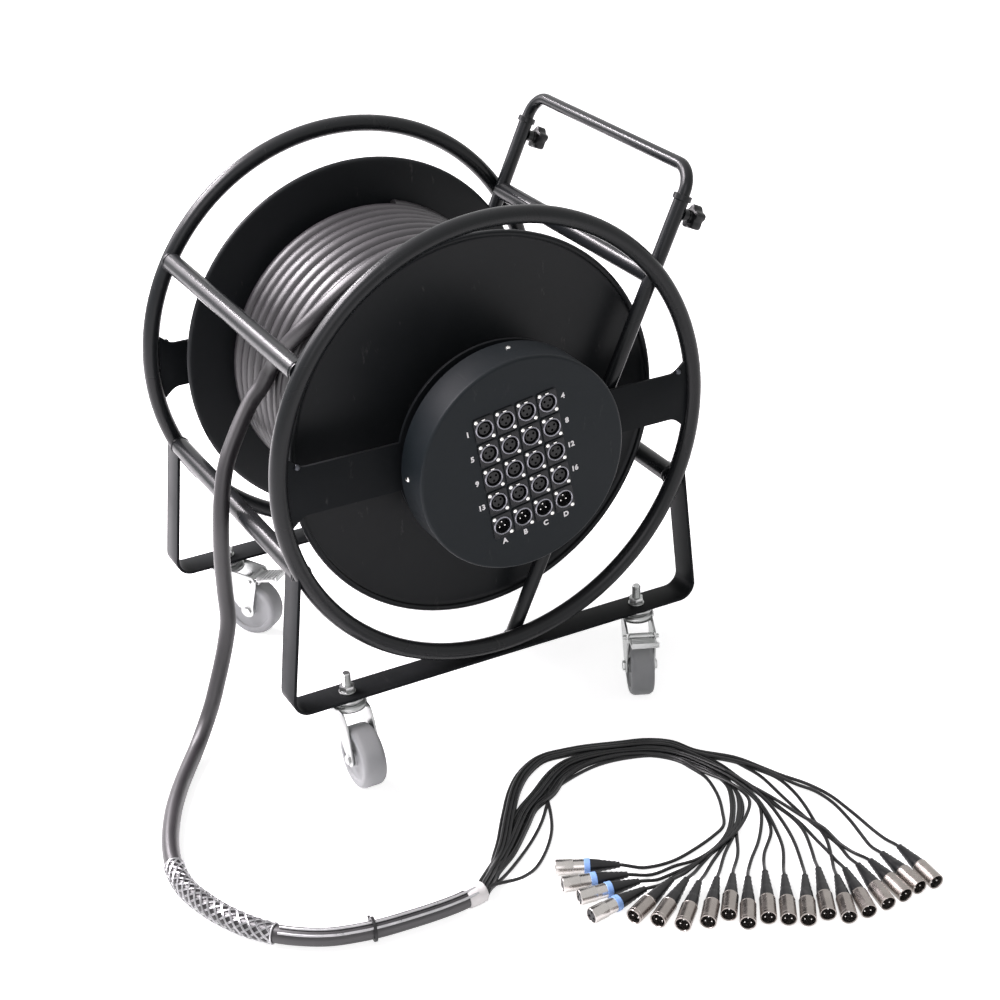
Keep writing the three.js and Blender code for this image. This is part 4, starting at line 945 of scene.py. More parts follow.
@dataclass
class FreeCable:
    """The multicore cable from the drum to the breakout, with its woven wire grip and its tape."""

    radius: float = 10.5
    sides: int = 20
    spacing: float = 7.0
    grip_from: float = -81.0
    grip_to: float = -257.0
    grip_left_of: float = -400.0
    grip_samples: int = 84
    grip_radius: float = 11.5
    grip_wires: int = 7
    grip_wire_gap: float = 0.15
    grip_wire_radius: float = 0.48
    grip_wire_sides: int = 5
    grip_crossing: float = 0.45
    grip_pitch: float = 82.0
    grip_bulge: float = 0.9
    grip_ring_radius: float = 11.9
    grip_ring_wire: float = 1.0
    strand_leans: Sequence[float] = (8.0, 44.0)
    strand_radius: float = 1.45
    strand_sides: int = 8
    strand_spacing: float = 5.0
    strand_bite: float = 0.3
    tie_place: Point = (-327.0, -302.0, -393.2)
    tie_lift: float = 0.85
    tie_inner: float = 10.7
    tie_outer: float = 14.2
    tie_half: float = 1.8
    tie_head: Point = (5.0, 4.6, 4.2)
    tie_tail: Point = (9.0, 3.2, 0.9)
    tape_radius: float = 11.6
    tape_start: Point = (-215.0, -306.6, -393.2)
    tape_end: Point = (-191.0, -303.4, -393.2)
    tape_sides: int = 28
    tape_samples: int = 18
    tape_bulge: float = 1.0
    tape_crease: float = 0.22
    route: Sequence[Point] = (
        (-199.2, 220.7, 53.4), (-208, 224, 36.6), (-222, 226, 20), (-247, 219, -14), (-270, 208, -50),
        (-284, 197, -90), (-291, 190, -128), (-294, 189, -170), (-295, 187, -212), (-297, 180, -252),
        (-304, 176, -278), (-313, 171, -302), (-324, 164, -325), (-337, 155, -349), (-351, 147, -371),
        (-370, 130, -388), (-400, 91, -393.2), (-422, 58, -393.2), (-447, 14, -393.2), (-470, -40, -393.2),
        (-481, -84, -393.2), (-483, -125, -393.2), (-474, -165, -393.2), (-462, -197, -393.2),
        (-445, -228, -393.2), (-426, -252, -393.2), (-404, -271, -393.2), (-376, -288, -393.2),
        (-349, -297, -393.2), (-321, -303, -393.2), (-291, -306, -393.2), (-259, -308, -393.2),
        (-229, -308, -393.2), (-203, -305, -393.2),
    )

    def helix(self, path: Sequence[Vector], way: float, start: float, reach: float, pitch: float,
              bulge: float = 0.0) -> list[Vector]:
        """Returns a line that winds round a path.

        Args:
            path: The path's points.
            way: 1 for one hand and -1 for the other.
            start: The angle at the path's first point.
            reach: The line's distance from the path.
            pitch: The length of one turn.
            bulge: How far the line stands off more, halfway along.

        Returns:
            The line's points.
        """
        line, gone = [], 0.0
        whole = path_length(path)
        last = path[0]
        for point, frame in zip(path, Form.frames(path)):
            gone += (point - last).length
            turn = start + way * FULL_TURN * gone / pitch
            off = reach + bulge * math.sin(math.pi * gone / whole)
            line.append(frame @ Vector((off * math.cos(turn), off * math.sin(turn), 0.0)))
            last = point
        return line

    def dress_grip(self, path: Sequence[Vector]) -> list[bpy.types.Object]:
        """Weaves the wire grip over the cable and runs its two pulling strands to the tape.

        Args:
            path: The cable's middle.

        Returns:
            The grip, the strands and their tie.
        """
        held = [p for p in path if p.x < self.grip_left_of and self.grip_to < p.y < self.grip_from]
        held = even_path(held, self.grip_samples)
        weave = Form()
        starts = [FULL_TURN * k / self.grip_wires + gap for k in range(self.grip_wires)
                  for gap in (0.0, self.grip_wire_gap)]
        for start in starts:
            for way in (-1.0, 1.0):
                reach = self.grip_radius + self.grip_crossing * way
                line = self.helix(held, way, start, reach, self.grip_pitch, self.grip_bulge)
                weave.sweep(line, self.grip_wire_radius, self.grip_wire_sides)
        for end in (held[0], held[-1]):
            _, way = way_near(held, end, 4)
            wire = circle(self.grip_ring_wire, 8, (self.grip_ring_radius, 0.0))
            weave.turn(wire, 28, aim(end, way), ring=True)
        woven = weave.to_object("grip_weave", GRIP_WIRE, FIXED, Slot.GRIP_WIRE, ["cable_grip"])
        onward = [p for p in path if p.y <= self.grip_to + 2]
        strands = Form()
        for lean in self.strand_leans:
            line = smooth_path(self.beside(onward, lean)[::3], self.strand_spacing)
            strands.sweep(line, self.strand_radius, self.strand_sides)
        pulling = strands.to_object("grip_strands", GRIP_WIRE, FIXED, Slot.GRIP_WIRE)
        return [woven, pulling, self.fasten_tie(path)]

    def beside(self, path: Sequence[Vector], lean: float) -> list[Vector]:
        """Returns a line on the cable's skin, leaning from the top towards the curve's outside.

        Args:
            path: The cable's middle.
            lean: The angle from the top, in degrees.

        Returns:
            The line's points.
        """
        turn = math.radians(lean)
        reach = self.radius + self.strand_radius - self.strand_bite
        across, above = reach * math.sin(turn), reach * math.cos(turn)
        line = []
        for point, frame in zip(path, Form.frames(path)):
            way = heading(frame)
            out = Vector((way.y, -way.x, 0.0)).normalized()
            line.append(point + out * across + UP * above)
        return line

    def fasten_tie(self, path: Sequence[Vector]) -> bpy.types.Object:
        """Fastens the black tie that holds the strands to the cable.

        Args:
            path: The cable's middle.

        Returns:
            The tie.
        """
        middle, way = way_near(path, Vector(self.tie_place), 3)
        outward = Vector((way.y, -way.x, 0.0))
        strap = band(self.tie_inner, self.tie_outer, -self.tie_half, self.tie_half, (0.3, 0.4))
        tie = Form()
        tie.turn(strap, 32, aim(middle + UP * self.tie_lift, way), ring=True)
        head = middle + outward * (self.tie_outer + 1.3)
        tail = head + outward * self.tie_head[0]
        tie.block(self.tie_head, 0.8, aim((head.x, head.y, middle.z + 1.0), way))
        tie.block(self.tie_tail, 0.3, aim((tail.x, tail.y, middle.z + 0.4), way))
        return tie.to_object("strand_tie", BLACK_PLASTIC, FIXED, Slot.KNOB_BLACK)

    def wrap_tape(self) -> bpy.types.Object:
        """Wraps the white tape round the cable's end and the tails' start.

        Returns:
            The tape.
        """
        path = even_path([Vector(self.tape_start), Vector(self.tape_end)], self.tape_samples)
        chance = random.Random(11)
        radii = []
        for k in range(len(path)):
            bulge = self.tape_bulge * math.sin(k / (len(path) - 1) * math.pi)
            radii.append(self.tape_radius + bulge + chance.uniform(-self.tape_crease, self.tape_crease))
        radii[0] = radii[-1] = self.radius + 0.3
        tape = Form()
        tape.sweep(path, self.tape_radius, self.tape_sides, radii)
        return tape.to_object("breakout_tape", WHITE_TAPE, FIXED, Slot.GRIP_WIRE, sharp=60.0)

    def build(self) -> None:
        """Adds the cable, the grip and the tape."""
        path = smooth_path(self.route, self.spacing)
        form = Form()
        form.sweep(path, self.radius, self.sides)
        cable = form.to_object("free_cable", CABLE_JACKET, FIXED, Slot.CABLE_BLACK, ["main_cable"])
        pieces = [*self.dress_grip(path), self.wrap_tape()]
        line = [LAYOUT.metres(p) for p in path]
        path_length(line)


class Strand(Enum):
    """Strands of tails between the tape and the fan, by place in the photo."""

    OUTER = "outer"
    MIDDLE = "middle"
    LOW = "low"
    SINGLE = "single"
    BOW = "bow"


class PlugKind(Enum):
    """Kinds of in-line plug."""

    FEMALE = "female"
    MALE = "male"


@dataclass(frozen=True)
class Tail:
    """One tail: its plug's tip and boot end, its strand, and its route from the boot to the strand."""

    number: int
    tip: Point
    boot: Point
    strand: Strand
    route: Sequence[Point]

    @property
    def kind(self) -> PlugKind:
        """Returns the kind of plug on this tail."""
        return PlugKind.FEMALE if self.number <= 4 else PlugKind.MALE

    @property
    def node(self) -> str:
        """Returns the name of the plug's solid."""
        return f"plug_{self.number:02d}_{self.kind.value}"


TAILS = (
    Tail(1, (-97, -304), (-30, -337), Strand.LOW, (
        (-11, -345), (10, -352), (35, -354), (67, -348), (100, -338), (121, -328), (135, -305), (152, -270),
        (162, -234), (160, -212))),
    Tail(2, (-106, -335), (-32, -357), Strand.LOW, (
        (-14, -361), (3, -364), (30, -363), (55, -366), (86, -359), (116, -342), (137, -320), (159, -288),
        (171, -263), (172, -236))),
    Tail(3, (-101, -364), (-27, -374), Strand.LOW, (
        (-9, -375), (13, -374), (52, -371), (93, -360), (123, -340), (147, -312), (162, -289), (173, -260),
        (174, -232))),
    Tail(4, (-106, -399), (-28, -389), Strand.LOW, (
        (-10, -386), (7, -382), (36, -375), (79, -365), (122, -346), (152, -315), (167, -293), (175, -265),
        (176, -233))),
    Tail(5, (-66, -424), (7, -390), Strand.LOW, (
        (23, -384), (54, -374), (92, -362), (122, -350), (153, -329), (175, -306), (180, -286), (177, -257))),
    Tail(6, (-46, -443), (22, -398), Strand.BOW, (
        (36, -389), (52, -379), (85, -362), (114, -348), (138, -331), (161, -302), (174, -276), (178, -246))),
    Tail(7, (-26, -463), (31, -410), Strand.SINGLE, (
        (44, -399), (66, -382), (100, -360), (124, -344), (149, -321), (169, -290), (177, -256))),
    Tail(8, (1, -473), (53, -414), Strand.MIDDLE, (
        (64, -402), (90, -375), (119, -351), (145, -330), (165, -304), (176, -272), (178, -240))),
    Tail(9, (28, -474), (72, -418), Strand.MIDDLE, (
        (83, -404), (104, -382), (130, -342), (161, -302), (175, -274), (178, -240))),
    Tail(10, (38, -497), (84, -431), Strand.MIDDLE, (
        (94, -417), (112, -398), (140, -373), (169, -338), (182, -314), (184, -286), (182, -254))),
    Tail(11, (63, -501), (107, -432), Strand.MIDDLE, (
        (116, -418), (130, -398), (163, -366), (174, -344), (183, -312), (184, -277), (180, -247))),
    Tail(12, (81, -514), (122, -449), Strand.MIDDLE, (
        (131, -435), (154, -402), (166, -373), (176, -343), (184, -305), (184, -271), (181, -242))),
    Tail(13, (99, -526), (142, -461), Strand.MIDDLE, (
        (151, -447), (163, -422), (174, -394), (184, -358), (191, -319), (191, -281), (186, -244))),
    Tail(14, (124, -529), (163, -458), Strand.OUTER, (
        (171, -443), (185, -415), (198, -382), (201, -357), (198, -324), (196, -289), (192, -251))),
    Tail(15, (141, -545), (173, -480), Strand.OUTER, (
        (181, -465), (194, -443), (211, -410), (219, -378), (229, -342), (234, -312), (233, -280),
        (222, -252), (207, -223))),
    Tail(16, (166, -548), (189, -474), Strand.OUTER, (
        (194, -458), (198, -433), (200, -404), (203, -369), (200, -330), (198, -296), (191, -256))),
    Tail(17, (193, -548), (207, -475), Strand.OUTER, (
        (210, -459), (216, -429), (216, -400), (215, -366), (216, -318), (217, -268), (208, -237),
        (198, -211))),
    Tail(18, (219, -546), (224, -476), Strand.OUTER, (
        (224, -460), (217, -428), (218, -393), (210, -363), (205, -333), (200, -303), (193, -263))),
    Tail(19, (242, -543), (244, -472), Strand.OUTER, (
        (245, -456), (249, -430), (255, -394), (258, -358), (253, -328), (243, -309), (234, -284),
        (224, -258), (209, -230))),
    Tail(20, (264, -545), (269, -472), Strand.OUTER, (
        (270, -456), (267, -422), (266, -379), (264, -346), (254, -313), (238, -283), (226, -256),
        (210, -224))),
)

STRAND_ROUTES = {
    Strand.OUTER: ((-193, -303.7), (-178, -288), (-155, -261), (-128, -231), (-93, -182), (-59, -138),
                   (-31, -113), (2, -98), (31, -101), (58, -107), (100, -122), (135, -135), (160, -155),
                   (174, -185), (187, -222)),
    Strand.MIDDLE: ((-193, -303.7), (-176, -290), (-148, -258), (-115, -226), (-74, -184), (-39, -160),
                    (-2, -134), (26, -123), (69, -126), (105, -137), (137, -154), (162, -183), (172, -223)),
    Strand.LOW: ((-193, -303.7), (-174, -291), (-146, -262), (-118, -238), (-86, -207), (-60, -182),
                 (-26, -166), (2, -145), (37, -133), (71, -133), (102, -142), (133, -160), (154, -186),
                 (164, -222)),
    Strand.SINGLE: ((-193, -303.7), (-176, -295), (-152, -282), (-127, -265), (-91, -238), (-63, -212),
                    (-40, -185), (-24, -167), (14, -152), (58, -145), (97, -151), (130, -165), (151, -190)),
    Strand.BOW: ((-193, -303.7), (-174, -302), (-143, -299), (-112, -285), (-83, -260), (-60, -231),
                 (-44, -200), (-32, -172), (-12, -146), (21, -123), (69, -126), (105, -137), (137, -154),
                 (162, -183), (172, -223)),
}


def eased(share: float) -> float:
    """Returns a share from 0 to 1 with a soft start and end."""
    share = min(1.0, max(0.0, share))
    return share * share * (3.0 - 2.0 * share)


@dataclass
class TailFan:
    """Twenty tails that leave the tape in strands and fan out to their plugs."""

    radius: float = 2.15
    sides: int = 10
    spacing: float = 7.0
    samples: int = 110
    row: int = 4
    side_step: float = 4.4
    layer_step: float = 3.7
    bundle_height: float = 13.4
    bundle_radius: float = 8.6
    plug_height: float = 9.8
    floor_gap: float = 0.15
    gather: float = 90.0
    spread: float = 120.0
    rise: float = 34.0
    settle: float = 85.0
    join_x: float = 100.0
    join_margin: float = 22.0
    boot_depth: float = 4.0

    def centre_line(self, tail: Tail) -> tuple[list[Vector], float]:
        """Draws a tail's flat line from the tape to its boot.

        Args:
            tail: The tail.

        Returns:
            The line, and the length of its part in the strand.
        """
        end = Vector((*tail.route[-1], 0.0))
        strand = [Vector((*p, 0.0)) for p in STRAND_ROUTES[tail.strand]]
        strand = [p for p in strand if p.x < self.join_x or p.y > end.y + self.join_margin]
        boot = Vector((*tail.boot, 0.0))
        inward = (Vector((*tail.tip, 0.0)) - boot).normalized()
        fan = [Vector((*p, 0.0)) for p in reversed(tail.route)]
        points = [*strand, *fan, boot + inward * self.boot_depth]
        return smooth_path(points, self.spacing), path_length(smooth_path(strand, self.spacing))

    def lay(self, tail: Tail) -> list[Vector]:
        """Lays a tail on the floor, packed beside and on its neighbours in the strand.

        Args:
            tail: The tail.

        Returns:
            The points of the tail's middle.
        """
        line, strand_length = self.centre_line(tail)
        whole = path_length(line)
        mates = [t.number for t in TAILS if t.strand is tail.strand]
        rank = mates.index(tail.number)
        beside = (rank % self.row - (min(self.row, len(mates)) - 1) / 2) * self.side_step
        above = (rank // self.row) * self.layer_step
        spiral = GOLDEN_ANGLE * tail.number
        reach = self.bundle_radius * math.sqrt((tail.number - 0.5) / len(TAILS))
        high = LAYOUT.ground + self.bundle_height + reach * math.sin(spiral)
        floor = LAYOUT.ground + self.radius + self.floor_gap
        laid, gone, last = [], 0.0, line[0]
        for point, frame in zip(line, Form.frames(line)):
            gone += (point - last).length
            way = heading(frame)
            side = Vector((-way.y, way.x, 0.0))
            free = eased(gone / self.gather)
            fanned = eased((gone - strand_length) / self.spread)
            raised = eased(1.0 - (whole - gone) / self.rise)
            across = (1 - free) * reach * math.cos(spiral) + free * (1 - fanned) * beside
            low = floor + above * (1 - eased(1.0 - (whole - gone) / self.settle))
            level = (1 - free) * high + free * low
            level += raised * (LAYOUT.ground + self.plug_height - level)
            laid.append(Vector((point.x, point.y, level)) + side * across)
            last = point
        return laid

    def build(self) -> None:
        """Adds each tail and its plug."""
        for tail in TAILS:
            path = even_path(self.lay(tail), self.samples)
            form = Form()
            form.sweep(path, self.radius, self.sides)
            name, replaced = f"tail_{tail.number:02d}", ["tail_loom"] if tail.number == 1 else []
            cord = form.to_object(name, TAIL_JACKET, FIXED, Slot.TAIL_BLACK, replaced)
            plug = Plug(tail).build()
            line = [LAYOUT.metres(p) for p in path]
            path_length(line)


@dataclass
class Plug:
    """An in-line audio plug at the end of a tail, drawn along Y from its tip."""

    tail: Tail
    axis_height: float = 9.8
    shell_radius: float = 9.5
    shell_length: float = 33.0
    shell_bore: float = 5.0
    mouth_radius: float = 7.9
    mouth_depth: float = 14.0
    groove_from: float = 20.0
    groove_radius: float = 8.7
    ring_length: float = 7.0
    ring_radius: float = 9.3
    boot_radius: float = 8.4
    boot_end_radius: float = 3.9
    boot_steps: int = 12
    boot_groove: float = 0.55
    contact_circle: float = 4.2
    contact_radius: float = 1.15
    contact_length: float = 9.0

    @property
    def female(self) -> bool:
        """Returns whether the plug takes pins."""
        return self.tail.kind is PlugKind.FEMALE

    @property
    def length(self) -> float:
        """Returns the plug's length from tip to boot end."""
        return (Vector(self.tail.tip) - Vector(self.tail.boot)).length

    def placement(self) -> Matrix:
        """Sets the plug on the ground.

        Returns:
            Its placement, from the tip along Y.
        """
        level = LAYOUT.ground + self.axis_height
        tip = Vector((*self.tail.tip, level))
        return aim(tip, Vector((*self.tail.boot, level)) - tip)

    def shell(self) -> Outline:
        """Draws the metal shell, which is narrower behind the groove on a female plug.

        Returns:
            Its profile, closed on itself.
        """
        r, mouth, deep, end = self.shell_radius, self.mouth_radius, self.mouth_depth, self.shell_length
        front = [(mouth, deep), (mouth, 0.7), (mouth + 0.5, 0.0), (r - 0.5, 0.0), (r, 0.6)]
        if self.female:
            groove, low = self.groove_from, self.groove_radius
            back = [(r, groove - 0.4), (r - 0.2, groove), (low, groove + 0.4), (low, end)]
        else:
            back = [(r, 3.0), (r - 0.25, 3.3), (r - 0.25, 4.3), (r, 4.6), (r, end - 3.0),
                    (r - 0.3, end - 2.6), (r - 0.3, end - 1.8), (r, end - 1.4), (r - 0.2, end - 0.3),
                    (r - 0.6, end)]
        return [*front, *back, (self.shell_bore, end), (self.shell_bore, deep)]

    def boot(self) -> Outline:
        """Draws the ribbed boot, which tapers to the tail.

        Returns:
            Its profile.
        """
        start = self.shell_length + (self.ring_length if self.female else 0.0)
        taper = self.length - start
        outline = [(0.0, start), (self.boot_radius - 0.4, start), (self.boot_radius, start + 0.5)]
        for k in range(self.boot_steps + 1):
            share = k / self.boot_steps
            radius = self.boot_radius + (self.boot_end_radius - self.boot_radius) * share ** 1.15
            groove = self.boot_groove if k % 2 and k > 3 else 0.0
            outline.append((radius - groove, start + 1.0 + (taper - 1.6) * share))
        return [*outline, (self.boot_end_radius - 0.5, self.length), (0.0, self.length)]

    def pin(self) -> Outline:
        """Draws a round-nosed contact.

        Returns:
            Its profile.
        """
        r, nose = self.contact_radius, self.mouth_depth - 1.0 - self.contact_length
        foot = self.mouth_depth - 0.6
        return [(0.0, nose), (r * 0.6, nose + 0.2), (r * 0.92, nose + 0.7), (r, nose + 1.3), (r, foot),
                (0.0, foot)]

    def contacts(self) -> Outline:
        """Returns the places of the three contacts across the axis."""
        return circle(self.contact_circle, 3, start=math.pi / 2)

    def build(self) -> list[bpy.types.Object]:
        """Adds the plug's shell, boot, insert and its ring or contacts.

        Returns:
            The plug's pieces.
        """
        name = self.tail.node.rsplit("_", 1)[0]
        place = self.placement()
        deep, mouth = self.mouth_depth, self.mouth_radius
        shell, boot, insert, front = Form(), Form(), Form(), Form()
        shell.turn(self.shell(), 40, place, ring=True)
        boot.turn(self.boot(), 32, place)
        nickel = FEMALE_NICKEL if self.female else PLUG_NICKEL
        pieces = [shell.to_object(f"{name}_shell", nickel, FIXED, Slot.PLUG_NICKEL, [self.tail.node]),
                  boot.to_object(f"{name}_boot", BLACK_PLASTIC, FIXED, Slot.KNOB_BLACK)]
        if self.female:
            insert.turn(band(0.0, mouth - 0.4, deep - 3.0, deep), 28, place)
            holes = [circle(self.contact_radius + 0.5, 12, spot) for spot in self.contacts()]
            insert.plate(circle(mouth - 0.7, 28), deep - 4.6, holes, where=place @ shift(0.0, 1.0, 0.0))
            start, end = self.shell_length, self.shell_length + self.ring_length
            ring = band(self.boot_radius - 0.6, self.ring_radius, start, end, (0.3, 0.4))
            front.turn(ring, 36, place, ring=True)
            pieces.append(front.to_object(f"{name}_ring", BLUE_RING, FIXED, Slot.PLUG_NICKEL))
        else:
            insert.turn(band(0.0, mouth - 0.3, deep - 1.0, deep - 0.1), 28, place)
            for x, z in self.contacts():
                front.turn(self.pin(), 12, place @ shift(x, 0.0, z))
            pieces.append(front.to_object(f"{name}_contacts", BRIGHT_METAL, FIXED, Slot.PLUG_NICKEL))
        pieces.append(insert.to_object(f"{name}_insert", BLACK_PLASTIC, FIXED, Slot.KNOB_BLACK))
        return pieces


# Frame


@dataclass
class HoopFrame:
    """Two hoops with their cross tubes, the crossbars that carry the axle, and the feet."""

    hoop_turns: int = 144
    tube_sides: int = 20
    cross_radius: float = 12.5
    cross_sides: int = 28
    cross_inset: float = 6.0
    cross_angles: Sequence[float] = (149.4, 34.0, -156.2, -24.0)
    saddle_sink: float = 0.8
    weld_inset: float = 10.2
    weld_sink: float = 0.4
    weld_bead: float = 1.5
    weld_ripple: float = 0.25
    sleeve_weld_radius: float = 9.6
    sleeve_weld_bead: float = 1.6
    sleeve_weld_rise: float = 4.0
    bar_height: float = 62.0
    bar_thickness: float = 4.5
    bar_bevel: float = 0.5
    bar_flare_rise: float = 17.0
    bar_flare_run: float = 30.0
    hub_radius: float = 132.0
    hub_bore: float = 26.3
    foot_width: float = 40.0
    foot_thickness: float = 4.0
    foot_bevel: float = 0.6
    foot_half_span: float = 289.0
    foot_bend: float = 20.0
    foot_lean: float = 6.3
    foot_leg_top: float = -108.0
    foot_overhang: float = 8.0
    small_bolt: Point = (-259.0, 33.0)
    bolt_dome: Sequence[Point] = ((0.0, 3.4), (1.9, 3.2), (3.1, 2.4), (3.7, 1.1), (3.8, -0.2), (0.0, -0.2))

    def add_hoop(self, form: Form, y: float) -> None:
        """Adds a hoop of round tube in the plane at a place along Y."""
        tube = circle(LAYOUT.hoop_tube, self.tube_sides, (LAYOUT.hoop_radius, y))
        form.turn(tube, self.hoop_turns, ring=True)

    def saddle(self, form: Form, verts: Iterable[bmesh.types.BMVert], ends: Iterable[float]) -> None:
        """Draws a tube's end points back to the round of the hoop that they meet.

        Args:
            form: The form that holds the tube; not used.
            verts: The tube's points.
            ends: The places along Y of the hoops that the tube meets.
        """
        for vert in verts:
            for y in ends:
                off = math.hypot(vert.co.x, vert.co.z) - LAYOUT.hoop_radius
                reach = math.sqrt(max(0.0, (LAYOUT.hoop_tube - self.saddle_sink) ** 2 - off * off))
                if abs(vert.co.y - y) < reach + 1.0:
                    vert.co.y = y + math.copysign(reach, vert.co.y - y)

    def add_cross_tube(self, form: Form, angle: float) -> None:
        """Adds a cross tube, saddled onto both hoops or ended at the sleeves that it meets.

        Args:
            form: The form that takes the tube.
            angle: Its place round the hoops, in degrees.
        """
        turn = math.radians(angle)
        x, z = LAYOUT.hoop_radius * math.cos(turn), LAYOUT.hoop_radius * math.sin(turn)
        between = angle == self.cross_angles[1]
        start = LAYOUT.sleeve_y if between else self.cross_inset
        end = LAYOUT.hoop_spacing - start
        path = even_path([Vector((x, start, z)), Vector((x, end, z))], 9)
        verts = form.sweep(path, self.cross_radius, self.cross_sides)
        if not between:
            self.saddle(form, verts, (0.0, LAYOUT.hoop_spacing))

    def add_weld(self, form: Form, centre: Vector, axis: Vector, radius: float, bead: float) -> None:
        """Adds a rippled weld bead round a tube.

        Args:
            form: The form that takes the bead.
            centre: The middle of the bead's ring.
            axis: The direction of the tube.
            radius: The ring's radius.
            bead: The bead's radius.
        """
        chance = random.Random(round(centre.x * 7 + centre.y * 3 + centre.z))
        ripples = form.turn(circle(bead, 8, (radius, 0.0)), 40, aim(centre, axis), ring=True)
        for vert in ripples:
            vert.co += axis * chance.uniform(-self.weld_ripple, self.weld_ripple)

    def bar_outline(self, disc: float) -> Outline:
        """Draws a crossbar, flared at the hoops and widened to a disc in the middle.

        Args:
            disc: The disc's radius, or 0 for a plain bar.

        Returns:
            The points of the outline.
        """
        end, half = LAYOUT.hoop_radius - 2.0, self.bar_height / 2
        flare = math.asin((half + self.bar_flare_rise) / end)
        flare_x = end * math.cos(flare)
        quarter = arc((0.0, 0.0), end, 0.0, flare, 4)
        for k in range(1, 9):
            share = k / 8
            quarter.append((flare_x - self.bar_flare_run * share,
                            half + self.bar_flare_rise * (1.0 - eased(share)) ** 1.3))
        if disc > half:
            quarter += arc((0.0, 0.0), disc, math.asin(half / disc), math.pi / 2, 32)
        left = [(-x, z) for x, z in reversed(quarter)]
        upper = [*quarter, *(left[1:] if disc > half else left)]
        lower = [(x, -z) for x, z in reversed(upper)]
        return [*upper, *lower[1:-1]]

    def add_crossbar(self, form: Form, y: float, disc: float) -> None:
        """Adds a crossbar with the bearing's bore in its middle.

        Args:
            form: The form that takes the bar.
            y: The place of its middle.
            disc: The radius of its disc, or 0 for a plain bar.
        """
        bore = circle(self.hub_bore, 48)
        start = shift(0.0, y - self.bar_thickness / 2, 0.0)
        form.plate(self.bar_outline(disc), self.bar_thickness, [bore], self.bar_bevel, start)

    def foot_outline(self) -> Outline:
        """Draws a foot's bent flat bar in X and Z.

        Returns:
            The points of the outline.
        """
        corner = (LAYOUT.foot_top + LAYOUT.foot_under) / 2
        rise = self.foot_leg_top - corner
        top = self.foot_half_span - (rise + 2.0) * math.tan(math.radians(self.foot_lean))
        line = bent_path([Vector((-top, 0, corner + rise)), Vector((-self.foot_half_span, 0, corner)),
                          Vector((self.foot_half_span, 0, corner)), Vector((top, 0, corner + rise))],
                         self.foot_bend, 10)
        inner, outer = [], []
        for point, frame in zip(line, Form.frames(line)):
            way = heading(frame)
            side = Vector((-way.z, 0.0, way.x)) * (self.foot_thickness / 2)
            inner.append(((point + side).x, (point + side).z))
            outer.append(((point - side).x, (point - side).z))
        return [*inner, *reversed(outer)]

    def foot_places(self) -> tuple[float, float]:
        """Returns the place along Y of each foot's middle."""
        front = self.foot_width / 2 - self.foot_overhang
        return front, LAYOUT.hoop_spacing - front

    def add_foot(self, form: Form, y: float) -> None:
        """Adds a foot with its middle at a place along Y."""
        start = shift(0.0, y - self.foot_width / 2, 0.0)
        form.plate(self.foot_outline(), self.foot_width, bevel=self.foot_bevel, where=start)

    def add_bar_bolts(self) -> None:
        """Adds the small domed bolt at both ends of both crossbars."""
        bolts = Form()
        x, z = self.small_bolt
        half = self.bar_thickness / 2
        for y, way in ((0.0, -1.0), (LAYOUT.hoop_spacing, 1.0)):
            dome = [(radius, way * along) for radius, along in self.bolt_dome]
            for side in (x, -x):
                bolts.turn(dome, 28, shift(side, y + way * half, z))
        bolts.to_object("crossbar_bolts", DULL_STEEL, FIXED, Slot.ZINC)

    def build(self) -> None:
        """Adds the hoops, the cross tubes, the crossbars, the feet and their welds."""
        spacing = LAYOUT.hoop_spacing
        for name, y in (("front", 0.0), ("rear", spacing)):
            form = Form()
            self.add_hoop(form, y)
            form.to_object(f"hoop_{name}_tube", TUBE_COAT, FIXED, Slot.FRAME_BLACK, [f"hoop_{name}"])
        names = ("upper_left", "upper_right", "lower_left", "lower_right")
        for name, angle in zip(names, self.cross_angles):
            form = Form()
            self.add_cross_tube(form, angle)
            form.to_object(f"cross_{name}_tube", TUBE_COAT, FIXED, Slot.FRAME_BLACK,
                           [f"cross_tube_{name}"])
        for name, y, disc in (("front", 0.0, self.hub_radius), ("rear", spacing, 0.0)):
            form = Form()
            self.add_crossbar(form, y, disc)
            form.to_object(f"crossbar_{name}_plate", BAR_COAT, FIXED, Slot.FRAME_BLACK,
                           [f"crossbar_{name}"])
        for name, y in zip(("front", "rear"), self.foot_places()):
            form = Form()
            self.add_foot(form, y)
            form.to_object(f"foot_{name}_bar", BAR_COAT, FIXED, Slot.FRAME_BLACK, [f"foot_{name}"])
        self.add_welds()
        self.add_bar_bolts()

    def add_welds(self) -> None:
        """Adds weld beads where tubes, bars and sleeves meet."""
        form = Form()
        along = Vector((0.0, 1.0, 0.0))
        radius = self.cross_radius - self.weld_sink
        for angle in self.cross_angles:
            turn = math.radians(angle)
            centre = Vector((math.cos(turn), 0.0, math.sin(turn))) * LAYOUT.hoop_radius
            for y in (self.weld_inset, LAYOUT.hoop_spacing - self.weld_inset):
                if angle != self.cross_angles[1]:
                    self.add_weld(form, centre + along * y, along, radius, self.weld_bead)
        for y in LAYOUT.sleeve_places():
            foot = LAYOUT.along_sleeve(y, self.sleeve_weld_rise)
            self.add_weld(form, foot, LAYOUT.sleeve_aim(), self.sleeve_weld_radius, self.sleeve_weld_bead)
        form.to_object("frame_welds", TUBE_COAT, FIXED, Slot.FRAME_BLACK)


